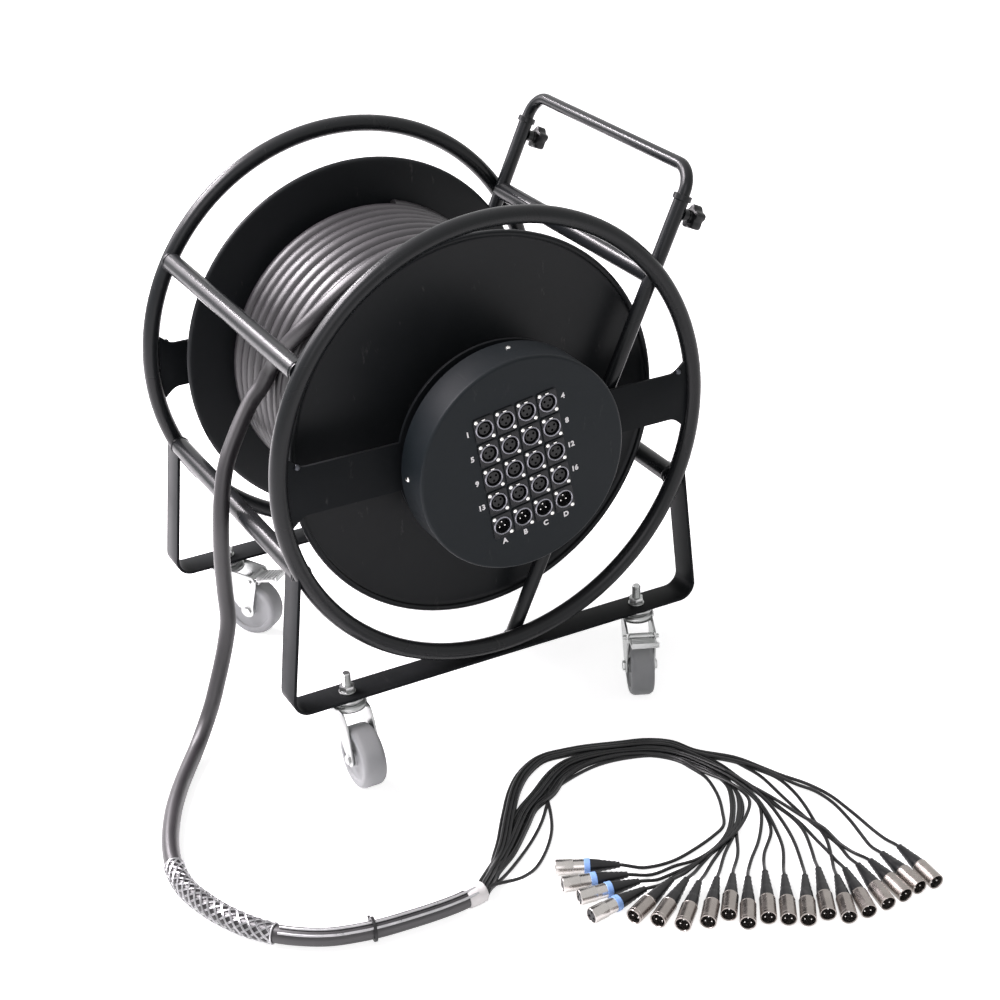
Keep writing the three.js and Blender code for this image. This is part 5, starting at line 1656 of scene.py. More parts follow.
@dataclass
class SlidingHandle:
    """Two oblique sleeves, the bent handle that slides in them and the clamp knobs."""

    sleeve_radius: float = 9.5
    collar_radius: float = 12.0
    collar_height: float = 7.0
    bore: float = 8.35
    handle_radius: float = 8.0
    rise: float = 32.0
    bend: float = 30.0
    insert: float = 335.0
    knob_drop: float = 23.0
    knob_radius: float = 16.0
    knob_lobes: int = 5
    knob_lobe_steps: int = 16
    knob_lobe_share: float = 0.12
    knob_thickness: float = 14.0
    knob_bevel: float = 2.2
    knob_neck: float = 4.0
    knob_neck_radius: float = 8.0
    stud_radius: float = 3.0
    boss_start: float = 8.6
    boss_end: float = 16.5
    boss_radius: float = 7.5
    boss_bore: float = 3.3

    def add_sleeves(self) -> None:
        """Adds the open sleeves with their collars and bosses."""
        length, under = LAYOUT.sleeve_length, LAYOUT.sleeve_length - self.collar_height
        bore, r, c = self.bore, self.sleeve_radius, self.collar_radius
        tube = [(bore, 0.0), (r, 0.0), (r, under - 0.6), (r + 0.5, under), (c - 0.4, under), (c, under + 0.5),
                (c, length - 0.8), (c - 0.8, length), (bore + 0.6, length), (bore, length - 0.7)]
        b, start, end = self.boss_radius, self.boss_start, self.boss_end
        boss = [(b, start), (b, end - 0.6), (b - 0.6, end), (self.boss_bore, end), (self.boss_bore, start)]
        for name, y in zip(("front", "rear"), LAYOUT.sleeve_places()):
            form = Form()
            verts = form.turn(tube, 36, aim(LAYOUT.along_sleeve(y, 0.0), LAYOUT.sleeve_aim()), ring=True)
            for vert in verts:
                vert.co.z = max(vert.co.z, LAYOUT.foot_top)
            form.turn(boss, 28, self.knob_place(y), ring=True)
            form.to_object(f"sleeve_{name}_tube", TUBE_COAT, FIXED, Slot.FRAME_BLACK, [f"sleeve_{name}"])

    def knob_place(self, y: float) -> Matrix:
        """Sets a knob on its sleeve.

        Args:
            y: The place of the sleeve.

        Returns:
            The placement of the knob's axis.
        """
        lean = LAYOUT.sleeve_aim()
        outward = Vector((lean.z, 0.0, -lean.x))
        return aim(LAYOUT.along_sleeve(y, LAYOUT.sleeve_length - self.knob_drop), outward)

    def add_handle(self) -> None:
        """Adds the handle's bent tube."""
        front, rear = LAYOUT.sleeve_places()
        top = LAYOUT.sleeve_length + self.rise
        low = LAYOUT.sleeve_length - self.insert
        run = [LAYOUT.along_sleeve(front, low), LAYOUT.along_sleeve(front, top),
               LAYOUT.along_sleeve(rear, top), LAYOUT.along_sleeve(rear, low)]
        form = Form()
        form.sweep(bent_path(run, self.bend, 14), self.handle_radius, 28)
        form.to_object("handle_tube", TUBE_COAT, Body.HANDLE.value, Slot.FRAME_BLACK, ["handle_bar"])

    def knob_outline(self) -> Outline:
        """Draws a clamp knob's lobes.

        Returns:
            The points of the outline.
        """
        outline = []
        for k in range(self.knob_lobes * self.knob_lobe_steps):
            turn = FULL_TURN * k / (self.knob_lobes * self.knob_lobe_steps)
            wave = 1 - self.knob_lobe_share + self.knob_lobe_share * math.cos(self.knob_lobes * turn)
            radius = self.knob_radius * wave
            outline.append((radius * math.cos(turn), radius * math.sin(turn)))
        return outline

    def add_knobs(self) -> None:
        """Adds the lobed clamp knobs with their necks, caps and studs."""
        seat = self.boss_end + 0.3
        grip = seat + self.knob_neck
        top = grip + self.knob_thickness
        neck, stud, start = self.knob_neck_radius, self.stud_radius, self.boss_start
        shank = [(0.0, start), (stud - 0.2, start), (stud, start + 0.4), (stud, seat), (neck, seat),
                 (neck, grip + 1.0), (0.0, grip + 1.0)]
        cap = [(0.0, top - 1.0), (neck, top - 1.0), (neck - 0.4, top + 1.2), (neck - 2.0, top + 2.3),
               (0.0, top + 2.5)]
        for body, y in zip((Body.KNOB_FRONT, Body.KNOB_REAR), LAYOUT.sleeve_places()):
            place = self.knob_place(y)
            form = Form()
            form.plate(self.knob_outline(), self.knob_thickness, bevel=self.knob_bevel,
                       where=place @ shift(0.0, grip, 0.0))
            form.turn(shank, 28, place)
            form.turn(cap, 32, place)
            form.to_object(f"{body.value}_grip", BLACK_PLASTIC, body.value, Slot.KNOB_BLACK, [body.value])

    def build(self) -> None:
        """Adds the sleeves, the handle and the knobs."""
        self.add_sleeves()
        self.add_handle()
        self.add_knobs()


# Casters


@dataclass
class Caster:
    """One swivel caster, drawn about its stem at the underside of the foot."""

    name: str
    side: float
    y: float
    turn: float
    braked: bool
    wheel_radius: float = 40.0
    wheel_half: float = 15.0
    tread_half: float = 10.0
    rim_radius: float = 29.0
    trail: float = 38.0
    drop: float = 68.0
    bar: float = 4.6
    stem_radius: float = 5.5
    stem_top: float = 31.6
    thread_pitch: float = 1.25
    washer_radius: float = 10.5
    washer_height: float = 1.5
    nut_across: float = 17.0
    nut_height: float = 8.0
    fork_inside: float = 16.5
    fork_plate: float = 3.0
    crown_radius: float = 24.0
    crown_bore: float = 5.4
    race_radius: float = 21.0
    eye_radius: float = 10.0
    axle_radius: float = 3.9
    axle_nut: float = 6.6
    axle_nut_height: float = 3.6
    span: float = 210.0
    pedal_back: float = 46.0
    pedal_drop: float = 20.0
    pedal_lift: float = 12.0
    pedal_width: float = 36.0
    pedal_sheet: float = 2.5
    pedal_ribs: int = 5

    def stand(self) -> Matrix:
        """Returns the placement of the stem."""
        return shift(self.side * self.span, self.y, LAYOUT.foot_under - 0.3)

    def swivel(self) -> Matrix:
        """Returns the placement of the fork."""
        return self.stand() @ Matrix.Rotation(math.radians(self.turn), 4, "Z")

    def upright(self) -> Matrix:
        """Returns the turn that carries the Y axis up."""
        return Matrix.Rotation(math.pi / 2, 4, "X")

    def across(self) -> Matrix:
        """Returns the turn that carries the Y axis across the fork."""
        return Matrix.Rotation(-math.pi / 2, 4, "Z")

    def axle(self) -> Matrix:
        """Returns the placement of the wheel's axle."""
        return self.swivel() @ shift(0.0, -self.trail, -self.drop) @ self.across()

    def thread(self, nut: float) -> Outline:
        """Draws the stem above the bar, threaded over the nut.

        Args:
            nut: The height of the nut's underside.

        Returns:
            The stem's profile.
        """
        r, top = self.stem_radius, self.stem_top
        profile = [(0.0, self.bar + 0.1), (r - 0.7, self.bar + 0.1)]
        at = nut + self.nut_height + 0.2
        while at < top - 1.6:
            profile += [(r, at + 0.35), (r - 0.75, at + 0.95)]
            at += self.thread_pitch
        return [*profile, (r - 1.2, top), (0.0, top)]

    def add_stem(self) -> None:
        """Adds the threaded stem with its nut, washer and race."""
        form = Form()
        place = self.stand() @ self.upright()
        bar, nut = self.bar, self.bar + self.washer_height
        form.turn(self.thread(nut), 24, place)
        form.turn(band(5.2, self.washer_radius, bar, nut, (0.3, 0.3)), 32, place, ring=True)
        form.plate(circle(self.nut_across / 2 / math.cos(math.pi / 6), 6), self.nut_height, bevel=0.7,
                   where=place @ shift(0.0, nut, 0.0))
        form.turn([(0.0, -18.0), (7.6, -18.0), (8.5, -17.4), (8.5, -15.4), (0.0, -15.4)], 28, place)
        form.turn(band(0.0, 5.0, -15.5, 4.2), 20, place)
        race = self.race_radius
        form.turn([(0.0, -6.2), (race - 2.4, -6.2), (race - 1.2, -5.2), (race - 0.2, -3.4), (race, -1.6),
                   (race - 1.0, -0.2), (0.0, 0.0)], 40, place)
        form.to_object(f"{self.name}_stem_set", ZINC_PLATE, FIXED, Slot.ZINC, [f"{self.name}_stem"])

    def fork_outline(self) -> Outline:
        """Draws a side plate, which reaches further back where it holds a pedal.

        Returns:
            The points of the outline: along the trail, and up.
        """
        shoulder = math.sqrt(self.crown_radius ** 2 - (self.fork_inside + self.fork_plate) ** 2)
        top, eye, trail, drop = -9.0, self.eye_radius, self.trail, self.drop
        outline = [(shoulder, top), (6.0, -24.0), (-(trail - eye - 3.0), -(drop - 4.0)),
                   *arc((-trail, -drop), eye, 2.10 * math.pi, 1.12 * math.pi, 12)]
        crown, back, down = -self.crown_radius, -self.pedal_back, -self.pedal_drop
        if self.braked:
            return [*outline, (-trail - eye + 0.5, -drop + 8.0), (back - 8.0, down - 9.0),
                    (back - 8.6, down - 1.0), (back - 4.0, down + 7.0), (back + 6.0, down + 8.6),
                    (crown, top)]
        return [*outline, (-trail - 4.0, -42.0), (-trail + 2.0, -26.0), (crown - 3.0, top - 3.0),
                (crown + 2.0, top)]

    def add_fork(self) -> None:
        """Adds the pressed fork: crown, two side plates, and the axle with its heads."""
        form = Form()
        place, axle = self.swivel(), self.axle()
        bore, r, race = self.crown_bore, self.crown_radius, self.race_radius
        form.turn([(bore, -14.9), (r - 3.5, -14.9), (r - 1.0, -14.2), (r, -12.6), (r, -10.6), (r - 0.8, -9.0),
                   (race, -7.4), (race - 1.4, -6.9), (bore, -6.9)], 44, place @ self.upright(), ring=True)
        sideways = Matrix(((0, 1, 0, 0), (1, 0, 0, 0), (0, 0, 1, 0), (0, 0, 0, 1)))
        out = self.fork_inside + self.fork_plate
        for start in (-out, self.fork_inside):
            spot = place @ shift(start, 0.0, 0.0) @ sideways
            form.plate(self.fork_outline(), self.fork_plate, bevel=0.7, where=spot)
        form.turn(band(0.0, self.axle_radius, -out - 0.1, out + 0.1), 20, axle)
        for way in (-1.0, 1.0):
            spot = axle @ shift(0.0, way * (out - 0.2), 0.0)
            form.plate(circle(self.axle_nut, 6), way * self.axle_nut_height, bevel=0.5, where=spot)
            head = [(0.0, 3.4), (2.6, 3.4), (3.6, 3.8), (2.2, 4.0), (0.0, 4.1)]
            form.turn([(radius, way * along) for radius, along in head], 20, spot)
        form.to_object(f"{self.name}_fork_set", ZINC_PLATE, f"{self.name}_fork", Slot.ZINC,
                       [f"{self.name}_fork"])

    def add_wheel(self) -> None:
        """Adds the wheel: a soft tread on a recessed rim with a hub."""
        form = Form()
        half, tread, rim, r = self.wheel_half, self.tread_half, self.rim_radius, self.wheel_radius
        right = [(4.5, half), (9.0, half), (9.6, half - 0.6), (10.2, half - 2.6), (12.0, half - 3.2),
                 (rim - 3.0, half - 3.2), (rim - 0.8, half - 2.4), (rim + 0.2, half - 0.5), (rim + 1.4, half),
                 (r - 4.4, half), (r - 3.0, half - 0.6), (r - 1.4, half - 2.6), (r - 0.4, tread + 0.6),
                 (r, tread - 2.0)]
        profile = [*right, *((radius, -x) for radius, x in reversed(right))]
        form.turn(profile, 64, self.axle(), ring=True)
        form.to_object(f"{self.name}_tyre", WHEEL_RUBBER, f"{self.name}_wheel", Slot.WHEEL_GREY,
                       [f"{self.name}_wheel"])

    def add_pedal(self) -> None:
        """Adds the brake pedal: pin, pressed tread with a turned-up lip, and the shoe below."""
        form = Form()
        pin = self.swivel() @ shift(0.0, -self.pedal_back, -self.pedal_drop)
        end = self.fork_inside + self.fork_plate + 4.0
        form.turn(band(0.0, 2.9, -end, end, (0.5, 0.6)), 20, pin @ self.across())
        form.turn(band(0.0, 5.0, -15.0, 15.0), 24, pin @ self.across())
        lifted = pin @ Matrix.Rotation(-math.radians(self.pedal_lift), 4, "X")
        wide, sheet = self.pedal_width, self.pedal_sheet
        form.block((wide - 6.0, 11.5, sheet), 0.5, lifted @ shift(0.0, -5.7, 0.0))
        form.block((wide, 35.0, sheet), 0.8, lifted @ shift(0.0, -26.5, 0.0))
        form.block((wide, sheet, 7.0), 0.8, lifted @ shift(0.0, -42.7, 2.2))
        for k in range(self.pedal_ribs):
            form.block((wide - 6.0, 1.2, 1.0), 0.3, lifted @ shift(0.0, -14.0 - 5.0 * k, 1.5))
        form.block((22.0, 9.0, 8.0), 1.0, pin @ shift(0.0, -4.5, -4.0))
        form.to_object(f"{self.name}_pedal_set", ZINC_PLATE, f"{self.name}_pedal", Slot.ZINC,
                       [f"{self.name}_pedal"])

    def build(self) -> None:
        """Adds the caster's pieces."""
        self.add_stem()
        self.add_fork()
        self.add_wheel()
        if self.braked:
            self.add_pedal()


# Drum


@dataclass
class Drum:
    """The flanged drum on its shaft, with the cable wound on it and the bearings at both ends."""

    front_y: float = 52.6
    rear_y: float = 378.0
    flange_radius: float = 250.0
    flange_bore: float = 20.6
    sheet: float = 1.5
    bead: float = 4.0
    bead_steps: int = 10
    boss_radius: float = 48.0
    boss_depth: float = 7.0
    barrel_radius: float = 90.0
    barrel_wall: float = 3.0
    shaft_radius: float = 20.0
    shaft_bore: float = 14.0
    shaft_rear: float = 443.6
    collar_radius: float = 27.0
    collar_width: float = 10.0
    bearing_radius: float = 42.0
    bearing_depth: float = 14.0
    spigot_radius: float = 26.0
    bar_half: float = 2.25
    play: float = 0.3
    cable_radius: float = 10.3
    cable_half: float = 10.5
    winding_radius: float = 186.1
    winding_turns: int = 14
    winding_steps: int = 72
    winding_start: float = 75.0
    winding_sag: float = 0.35
    sway_rates: Sequence[float] = (2.0, 3.0, 5.0)
    sway_size: Point = (0.2, 0.5)
    lower_drop: float = 24.34
    lower_stretch: float = 1.065
    lower_ridge: float = 9.0
    lower_steps: int = 8
    lead_spacing: float = 6.0
    crossing: Sequence[Point] = (
        (36.0, 147.8, 186.2), (53.0, 148.8, 186.6), (70.0, 149.9, 190.0), (84.0, 151.0, 197.5),
        (98.0, 152.5, 204.5), (110.0, 153.5, 206.8), (122.0, 154.5, 207.0), (131.6, 159.0, 207.0),
        (140.4, 168.0, 207.0), (147.4, 182.0, 206.8), (154.8, 201.0, 205.8), (161.4, 217.4, 204.6),
        (165.0, 220.7, 206.2))
    box_back_y: float = -19.0
    box_back_radius: float = 133.0
    neck_radius: float = 30.0

    def flange(self, y: float, outward: float) -> Outline:
        """Draws a flange: flat sheet, pressed boss and rolled rim bead.

        Args:
            y: The place of the sheet's middle.
            outward: 1 where outward is +Y and -1 where it is -Y.

        Returns:
            Pairs of radius and place, closed on itself.
        """
        half, bead, edge, bore = self.sheet / 2, self.bead, self.flange_radius, self.flange_bore
        inner = [(bore, -half), (edge - 2 * bead, -half), (edge - bead, -half)]
        curl = arc((edge - bead, bead - half), bead, -0.5 * math.pi, 0.75 * math.pi, self.bead_steps)
        rest = [(edge - 2 * bead + 0.4, half + 1.4), (edge - 2 * bead - 1.4, half + 0.2),
                (edge - 3 * bead, half)]
        boss, raised = self.boss_radius, half + self.boss_depth
        middle = [(boss + 4.0, half), (boss, half + 0.5), (boss - 2.0, half + 2.0),
                  (boss - 5.0, raised - 1.5), (boss - 8.0, raised), (bore, raised)]
        return [(radius, y + outward * along) for radius, along in (*inner, *curl, *rest, *middle)]

    def add_flanges(self) -> None:
        """Adds both flanges and the barrel that joins them."""
        body, slot = Body.DRUM.value, Slot.DRUM_BLACK
        front, rear = Form(), Form()
        front.turn(self.flange(self.front_y, -1.0), 128, ring=True)
        front.to_object("flange_front_sheet", DRUM_COAT, body, slot, ["flange_front"])
        rear.turn(self.flange(self.rear_y, 1.0), 128, ring=True)
        inside = self.barrel_radius - self.barrel_wall
        rear.turn(band(inside, self.barrel_radius, self.front_y + 1.1, self.rear_y), 64, ring=True)
        rear.to_object("flange_rear_sheet", DRUM_COAT, body, slot, ["flange_rear"])

    def wind(self) -> list[Vector]:
        """Draws the wound outer layer, a little uneven, as hands leave it.

        Returns:
            The points of the wound cable's middle.
        """
        chance = random.Random(23)
        first = self.front_y + self.sheet / 2 + self.play + self.cable_half
        last = self.rear_y - self.sheet / 2 - self.play - self.cable_half
        sway = [(chance.uniform(*self.sway_size), chance.uniform(0, FULL_TURN), rate)
                for rate in self.sway_rates]
        line = []
        for k in range(self.winding_turns * self.winding_steps + 1):
            share = k / (self.winding_turns * self.winding_steps)
            turn = math.radians(self.winding_start) + FULL_TURN * k / self.winding_steps
            ends = min(1.0, 10 * share, 10 * (1 - share))
            shift_y = ends * sum(size * math.sin(rate * turn * 0.31 + phase) for size, phase, rate in sway)
            radius = self.winding_radius + self.winding_sag * math.sin(turn * 0.77 + 1.3)
            line.append(Vector((radius * math.cos(turn), first + (last - first) * share + shift_y,
                                radius * math.sin(turn))))
        return line

    def lower_layers(self) -> Outline:
        """Draws the plain layers below the outer one, ridged like wound cable.

        Returns:
            Their profile, closed on itself.
        """
        pitch = (self.rear_y - self.front_y - 2 * self.cable_half - 2.1) / self.winding_turns
        low = self.winding_radius - self.lower_drop
        step = pitch / self.lower_steps * self.lower_stretch
        inside = self.barrel_radius + 0.4
        profile = []
        for k in range(self.winding_turns * self.lower_steps + 1):
            wave = abs(math.sin(math.pi * (k / self.lower_steps + 0.25)))
            profile.append((low + self.lower_ridge * wave, self.front_y + 2.0 + k * step))
        ridges = [p for p in profile if p[1] < self.rear_y - 1.5]
        return [(inside, self.front_y + 1.2), *ridges, (inside, self.rear_y - 1.2)]

    def add_winding(self) -> None:
        """Adds the wound outer layer and the plain layers below it."""
        body, slot = Body.DRUM.value, Slot.CABLE_BLACK
        nodes = ["winding", "inner_cable_layers"]
        wound, below = Form(), Form()
        wound.sweep(self.wind(), self.cable_radius, 14)
        wound.to_object("wound_cable", CABLE_JACKET, body, slot, nodes, sharp=60.0)
        below.turn(self.lower_layers(), 72, ring=True)
        below.to_object("lower_cable_layers", CABLE_JACKET, body, slot, sharp=60.0)

    def add_lead(self) -> None:
        """Adds the lead over the winding, which stays with the free cable when the drum turns."""
        line = []
        for degrees, y, radius in self.crossing:
            turn = math.radians(degrees)
            line.append(Vector((radius * math.cos(turn), y, radius * math.sin(turn))))
        form = Form()
        form.sweep(smooth_path(line, self.lead_spacing), self.cable_radius, 16)
        form.to_object("cable_lead", CABLE_JACKET, FIXED, Slot.CABLE_BLACK, sharp=60.0)

    def add_shaft(self) -> None:
        """Adds the hollow shaft, its thrust collars and the box's round back plate."""
        form = Form()
        front = self.bar_half + self.play + self.bearing_depth + self.play
        rear = LAYOUT.hoop_spacing - front
        r, c, bore, wide, end = (self.shaft_radius, self.collar_radius, self.shaft_bore, self.collar_width,
                                 self.shaft_rear)
        start = self.box_back_y - 11.0
        form.turn([(bore, start), (r, start), (r, front), (c - 0.6, front), (c, front + 0.6),
                   (c, front + wide - 0.6), (c - 0.6, front + wide), (r, front + wide), (r, rear - wide),
                   (c - 0.6, rear - wide), (c, rear - wide + 0.6), (c, rear - 0.6), (c - 0.6, rear),
                   (r, rear), (r, end - 0.8), (r - 0.8, end), (bore + 0.5, end), (bore, end - 0.5)],
                  48, ring=True)
        form.to_object("hollow_shaft", SHAFT_STEEL, Body.DRUM.value, Slot.SHAFT_STEEL, ["drum_shaft"])
        back = Form()
        n, edge, face = self.neck_radius, self.box_back_radius, self.box_back_y
        back.turn([(r + 0.05, start), (n - 1.0, start), (n, start + 1.0), (n, face - 4.0),
                   (n + 2.0, face - 3.0), (edge - 0.6, face - 3.0), (edge, face - 2.4), (edge, face - 0.6),
                   (edge - 0.6, face), (r + 4.0, face), (r + 1.0, face + 2.2), (r + 0.05, face + 3.0)], 72,
                  ring=True)
        back.to_object("box_back_plate", BOX_COAT, Body.DRUM.value, Slot.BOX_BLACK)

    def add_bearings(self) -> None:
        """Adds the flanged bearings inside both crossbars."""
        seat = self.bar_half + self.play
        r, s, deep, bore = (self.bearing_radius, self.spigot_radius, self.bearing_depth,
                            self.shaft_radius + 0.35)
        outline = [(bore, -4.4), (s - 0.5, -4.4), (s, -3.9), (s, 0.0), (r - 0.6, 0.0), (r, 0.6), (r, 6.4),
                   (r - 1.2, 7.4), (r - 6.0, deep - 0.8), (r - 7.0, deep), (bore + 0.6, deep),
                   (bore, deep - 0.6)]
        for name, start, way in (("front", seat, 1.0), ("rear", LAYOUT.hoop_spacing - seat, -1.0)):
            form = Form()
            form.turn([(radius, start + way * along) for radius, along in outline], 64, ring=True)
            form.to_object(f"bearing_{name}_unit", SHAFT_STEEL, FIXED, Slot.SHAFT_STEEL, [f"bearing_{name}"])

    def build(self) -> None:
        """Adds the flanges, the cable, the shaft and the bearings."""
        self.add_flanges()
        self.add_winding()
        self.add_lead()
        self.add_shaft()
        self.add_bearings()


# Socket box


@dataclass
class SocketBox:
    """The round box on the shaft's front end, with sixteen inputs and four outputs."""

    radius: float = 136.0
    front_y: float = -71.0
    depth: float = 52.0
    wall: float = 1.5
    face: float = 2.0
    edge: float = 4.0
    turn: float = -9.0
    columns: int = 4
    female_rows: int = 4
    pitch_x: float = 28.4
    pitch_z: float = 33.3
    flange_width: float = 26.0
    flange_height: float = 31.0
    flange_thickness: float = 1.6
    flange_corner: float = 3.2
    body_radius: float = 11.6
    mouth_radius: float = 9.7
    mouth_depth: float = 11.0
    insert_radius: float = 7.6
    contact_circle: float = 4.2
    contact_radius: float = 1.15
    latch_rise: float = 12.6
    screw_spots: Sequence[Point] = ((-9.6, 12.0), (9.6, -12.0))
    small_screw: Sequence[Point] = (
        (0.0, 0.4), (2.6, 0.4), (2.6, -0.5), (2.2, -1.3), (1.4, -1.9), (0.9, -2.0), (0.8, -1.4), (0.0, -1.3))
    side_screw: Sequence[Point] = (
        (0.0, -0.8), (3.4, -0.8), (3.4, 0.4), (2.9, 1.5), (1.7, 2.2), (0.8, 2.4), (0.7, 1.6), (0.0, 1.6))
    side_screws: int = 4
    screw_y: float = -36.0
    mark_size: float = 9.4
    mark_weight: float = 0.42
    mark_raise: float = 0.06
    mark_gap: float = 21.5
    letter_drop: float = 22.5

    def placement(self) -> Matrix:
        """Returns the turn of the box on the axle."""
        return Matrix.Rotation(math.radians(self.turn), 4, "Y")

    def spots(self) -> list[tuple[int, Vector]]:
        """Places the sockets in rows and columns.

        Returns:
            Each socket's row and its place in the box's own frame.
        """
        rows = self.female_rows + 1
        return [(row, Vector(((column - (self.columns - 1) / 2) * self.pitch_x, self.front_y,
                              ((rows - 1) / 2 - row) * self.pitch_z)))
                for row in range(rows) for column in range(self.columns)]

    def add_cover(self) -> None:
        """Adds the round cover with its rounded front edge, its socket holes and its side screws."""
        form = Form()
        r, y, e = self.radius, self.front_y, self.edge
        back = y + self.depth
        corner = arc((r - e, y + e), e, -math.pi / 2, 0.0, 8)
        inner = [(r - self.wall, back), (r - self.wall, y + e + 1.0), (r - e - 0.6, y + self.face)]
        rim = [(r, back - 0.5), (r - 0.4, back)]
        form.turn([*corner, *rim, *inner], 128, self.placement(), ring=True)
        holes = [circle(self.body_radius - 0.9, 28, (spot.x, spot.z)) for _, spot in self.spots()]
        form.plate(circle(r - e, 128), self.face, holes, where=self.placement() @ shift(0.0, y, 0.0))
        form.to_object("box_cover", BOX_COAT, Body.DRUM.value, Slot.BOX_BLACK, ["box_shell"])
        screws = Form()
        for k in range(self.side_screws):
            angle = FULL_TURN * k / self.side_screws
            out = Vector((math.cos(angle), 0.0, math.sin(angle)))
            place = aim(out * (r - 0.4) + Vector((0.0, self.screw_y, 0.0)), out)
            screws.turn(self.side_screw, 24, place)
        screws.to_object("box_side_screws", BRIGHT_METAL, Body.DRUM.value, Slot.ZINC)

    def flange_outline(self) -> Outline:
        """Draws a socket's flange with rounded corners.

        Returns:
            The points of the outline.
        """
        w, h, r = self.flange_width / 2, self.flange_height / 2, self.flange_corner
        outline = []
        for quarter, middle in enumerate(((w - r, h - r), (r - w, h - r), (r - w, r - h), (w - r, r - h))):
            outline += arc(middle, r, quarter * math.pi / 2, (quarter + 1) * math.pi / 2, 5)
        return outline

    def add_sockets(self) -> None:
        """Adds the sockets: flanges, cups, rims, inserts, contacts, latches and screws."""
        flanges, rims, plastic, bright, screws = Form(), Form(), Form(), Form(), Form()
        mouth, front = self.mouth_radius, -self.flange_thickness
        floor = front + self.mouth_depth
        cup = band(mouth, mouth + 1.6, front + 0.2, floor + 3.0)
        rim = [(mouth + 0.05, front + 0.5), (mouth + 0.3, front - 0.7), (mouth + 0.9, front - 1.3),
               (mouth + 1.6, front - 1.2), (mouth + 2.3, front - 0.5), (mouth + 2.5, front + 0.3)]
        for row, spot in self.spots():
            female = row < self.female_rows
            place = self.placement() @ Matrix.Translation(spot)
            flanges.plate(self.flange_outline(), self.flange_thickness, [circle(mouth + 0.4, 32)], 0.35,
                          place @ shift(0.0, front, 0.0))
            flanges.turn(cup, 36, place, ring=True)
            rims.turn(rim, 40, place, ring=True)
            if female:
                self.add_input(plastic, place, front, floor)
                self.add_latch(screws, plastic, place, front)
            else:
                self.add_output(plastic, bright, place, floor)
            for x, z in self.screw_spots:
                screws.turn(self.small_screw, 24, place @ shift(x, front, z))
        body = Body.DRUM.value
        flanges.to_object("socket_flanges", SOCKET_COAT, body, Slot.PLUG_NICKEL)
        rims.to_object("socket_rims", SOCKET_RIM, body, Slot.PLUG_NICKEL)
        plastic.to_object("socket_inserts", BLACK_PLASTIC, body, Slot.KNOB_BLACK)
        bright.to_object("output_contacts", BRIGHT_METAL, body, Slot.PLUG_NICKEL)
        screws.to_object("socket_screws", BRIGHT_METAL, body, Slot.ZINC)

    def contacts(self, female: bool) -> Outline:
        """Returns the places of a socket's three contacts, turned over in the outputs."""
        return circle(self.contact_circle, 3, start=-math.pi / 2 if female else math.pi / 2)

    def add_input(self, plastic: Form, place: Matrix, front: float, floor: float) -> None:
        """Adds an input's insert with its three holes.

        Args:
            plastic: The form that takes the insert.
            place: The socket's placement.
            front: The place of the flange's face along Y.
            floor: The place of the mouth's floor.
        """
        r, mouth = self.insert_radius, self.mouth_radius - 0.1
        plastic.turn([(r - 0.5, front + 0.8), (r, front + 1.3), (r, floor), (mouth, floor),
                      (mouth, floor + 1.0), (0.0, floor + 1.0), (0.0, front + 4.0),
                      (r - 0.5, front + 4.0)], 32, place, ring=True)
        holes = [circle(self.contact_radius + 0.45, 12, at) for at in self.contacts(True)]
        plastic.plate(circle(r - 0.45, 32), 1.4, holes, where=place @ shift(0.0, front + 0.85, 0.0))

    def add_output(self, plastic: Form, bright: Form, place: Matrix, floor: float) -> None:
        """Adds an output's floor and its three pins.

        Args:
            plastic: The form that takes the floor.
            bright: The form that takes the pins.
            place: The socket's placement.
            floor: The place of the mouth's floor along Y.
        """
        mouth, c = self.mouth_radius - 0.1, self.contact_radius + 0.15
        plastic.turn(band(0.0, mouth, floor - 0.2, floor + 1.0), 32, place)
        pin = [(0.0, floor - 9.0), (c * 0.6, floor - 8.8), (c * 0.92, floor - 8.3), (c, floor - 7.6),
               (c, floor), (0.0, floor)]
        for x, z in self.contacts(False):
            bright.turn(pin, 14, place @ shift(x, 0.0, z))

    def add_latch(self, bright: Form, plastic: Form, place: Matrix, front: float) -> None:
        """Adds an input's release latch above its mouth."""
        plastic.block((7.6, 1.6, 3.0), 0.5, place @ shift(0.0, front - 0.3, self.latch_rise))
        bright.block((4.4, 0.6, 1.4), 0.25, place @ shift(0.0, front - 1.2, self.latch_rise))

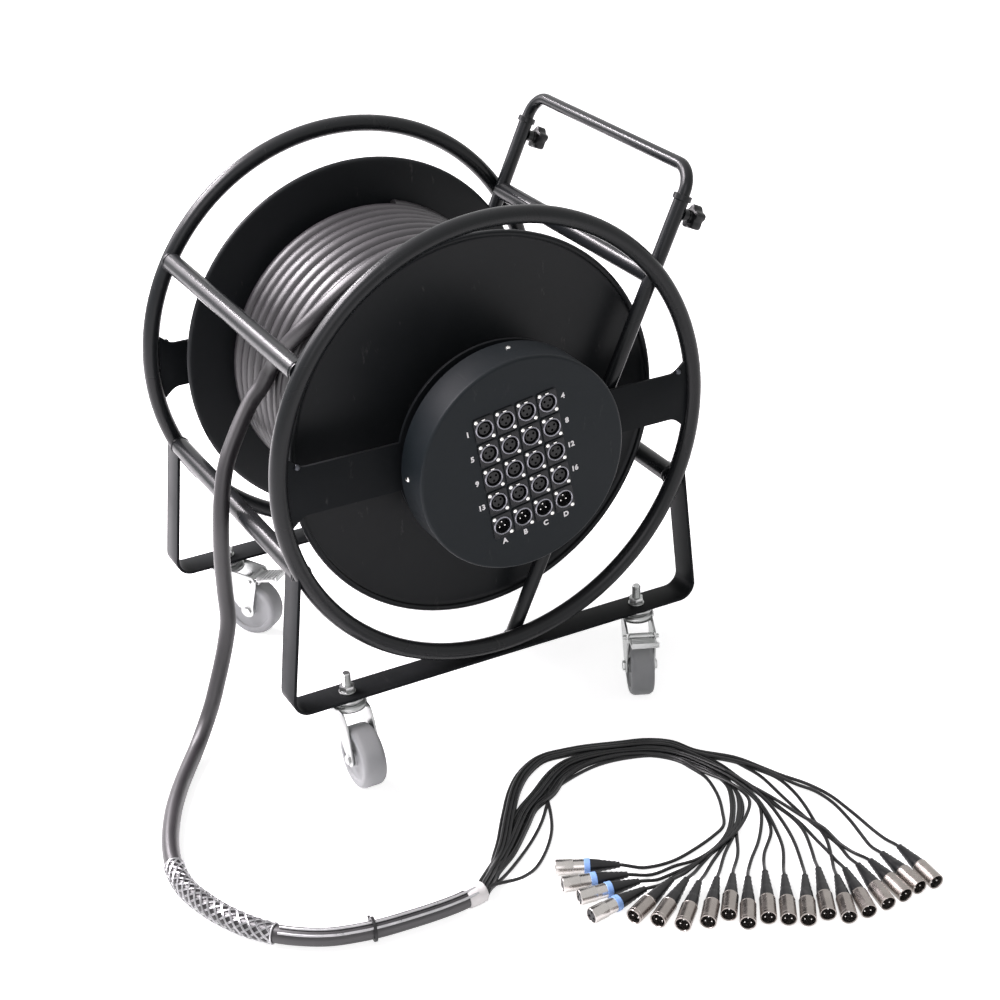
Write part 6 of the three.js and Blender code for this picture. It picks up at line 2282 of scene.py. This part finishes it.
    def add_marks(self) -> None:
        """Prints plain row numbers beside the inputs and letters under the outputs."""
        half_x = (self.columns - 1) / 2 * self.pitch_x
        marks = []
        for row in range(self.female_rows):
            z = (self.female_rows / 2 - row) * self.pitch_z
            marks.append((str(row * self.columns + 1), -half_x - self.mark_gap, z))
            marks.append((str((row + 1) * self.columns), half_x + self.mark_gap, z))
        for column, letter in enumerate("ABCD"):
            x = (column - (self.columns - 1) / 2) * self.pitch_x
            marks.append((letter, x, -2 * self.pitch_z - self.letter_drop))
        form = Form()
        for text, x, z in marks:
            self.add_text(form, text, x, z)
        form.to_object("panel_marks", WHITE_MARK, Body.DRUM.value, Slot.BOX_BLACK)

    def add_text(self, form: Form, text: str, x: float, z: float) -> None:
        """Adds a line of raised print to the panel, centred on a place.

        Args:
            form: The form that takes the print.
            text: A number or a letter.
            x: The place to the right, in the box's own frame.
            z: The place upwards.
        """
        curve = bpy.data.curves.new("mark", "FONT")
        curve.body = text
        curve.size = self.mark_size
        curve.offset = self.mark_weight
        curve.extrude = self.mark_raise
        curve.resolution_u = 3
        curve.align_x = "CENTER"
        curve.align_y = "CENTER"
        item = bpy.data.objects.new("mark", curve)
        data = item.to_mesh()
        standing = Matrix.Rotation(math.pi / 2, 4, "X")
        data.transform(self.placement() @ shift(x, self.front_y - 0.08, z) @ standing)
        form.mesh.from_mesh(data)
        item.to_mesh_clear()
        bpy.data.objects.remove(item)
        bpy.data.curves.remove(curve)

    def build(self) -> None:
        """Adds the cover, the sockets and the marks."""
        self.add_cover()
        self.add_sockets()
        self.add_marks()


def corners(bounds: tuple) -> list[list[float]]:
    """Returns the lowest and highest corners as plain lists."""
    return [[float(v) for v in corner] for corner in bounds]


def main() -> None:
    """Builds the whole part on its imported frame."""
    logging.basicConfig(level=logging.INFO, format="%(name)s: %(message)s")
    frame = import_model()
    spin = next(joint for joint in frame["joints"] if joint["name"] == "drum_spin")
    front_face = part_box("crossbar_front")[0].y
    middle = front_face + HoopFrame().bar_thickness / 2 * MM
    LAYOUT.axle = Vector((spin["pos_m"][0], middle, spin["pos_m"][2]))
    Studio().build()
    FreeCable().build()
    TailFan().build()
    HoopFrame().build()
    SlidingHandle().build()
    front_y, rear_y = HoopFrame().foot_places()
    for caster in (Caster("caster_front_left", -1.0, front_y, 0.0, False),
                   Caster("caster_front_right", 1.0, front_y, -24.0, True),
                   Caster("caster_rear_left", -1.0, rear_y, 38.0, True),
                   Caster("caster_rear_right", 1.0, rear_y, 14.0, False)):
        caster.build()
    Drum().build()
    SocketBox().build()


if __name__ == "__main__":
    main()
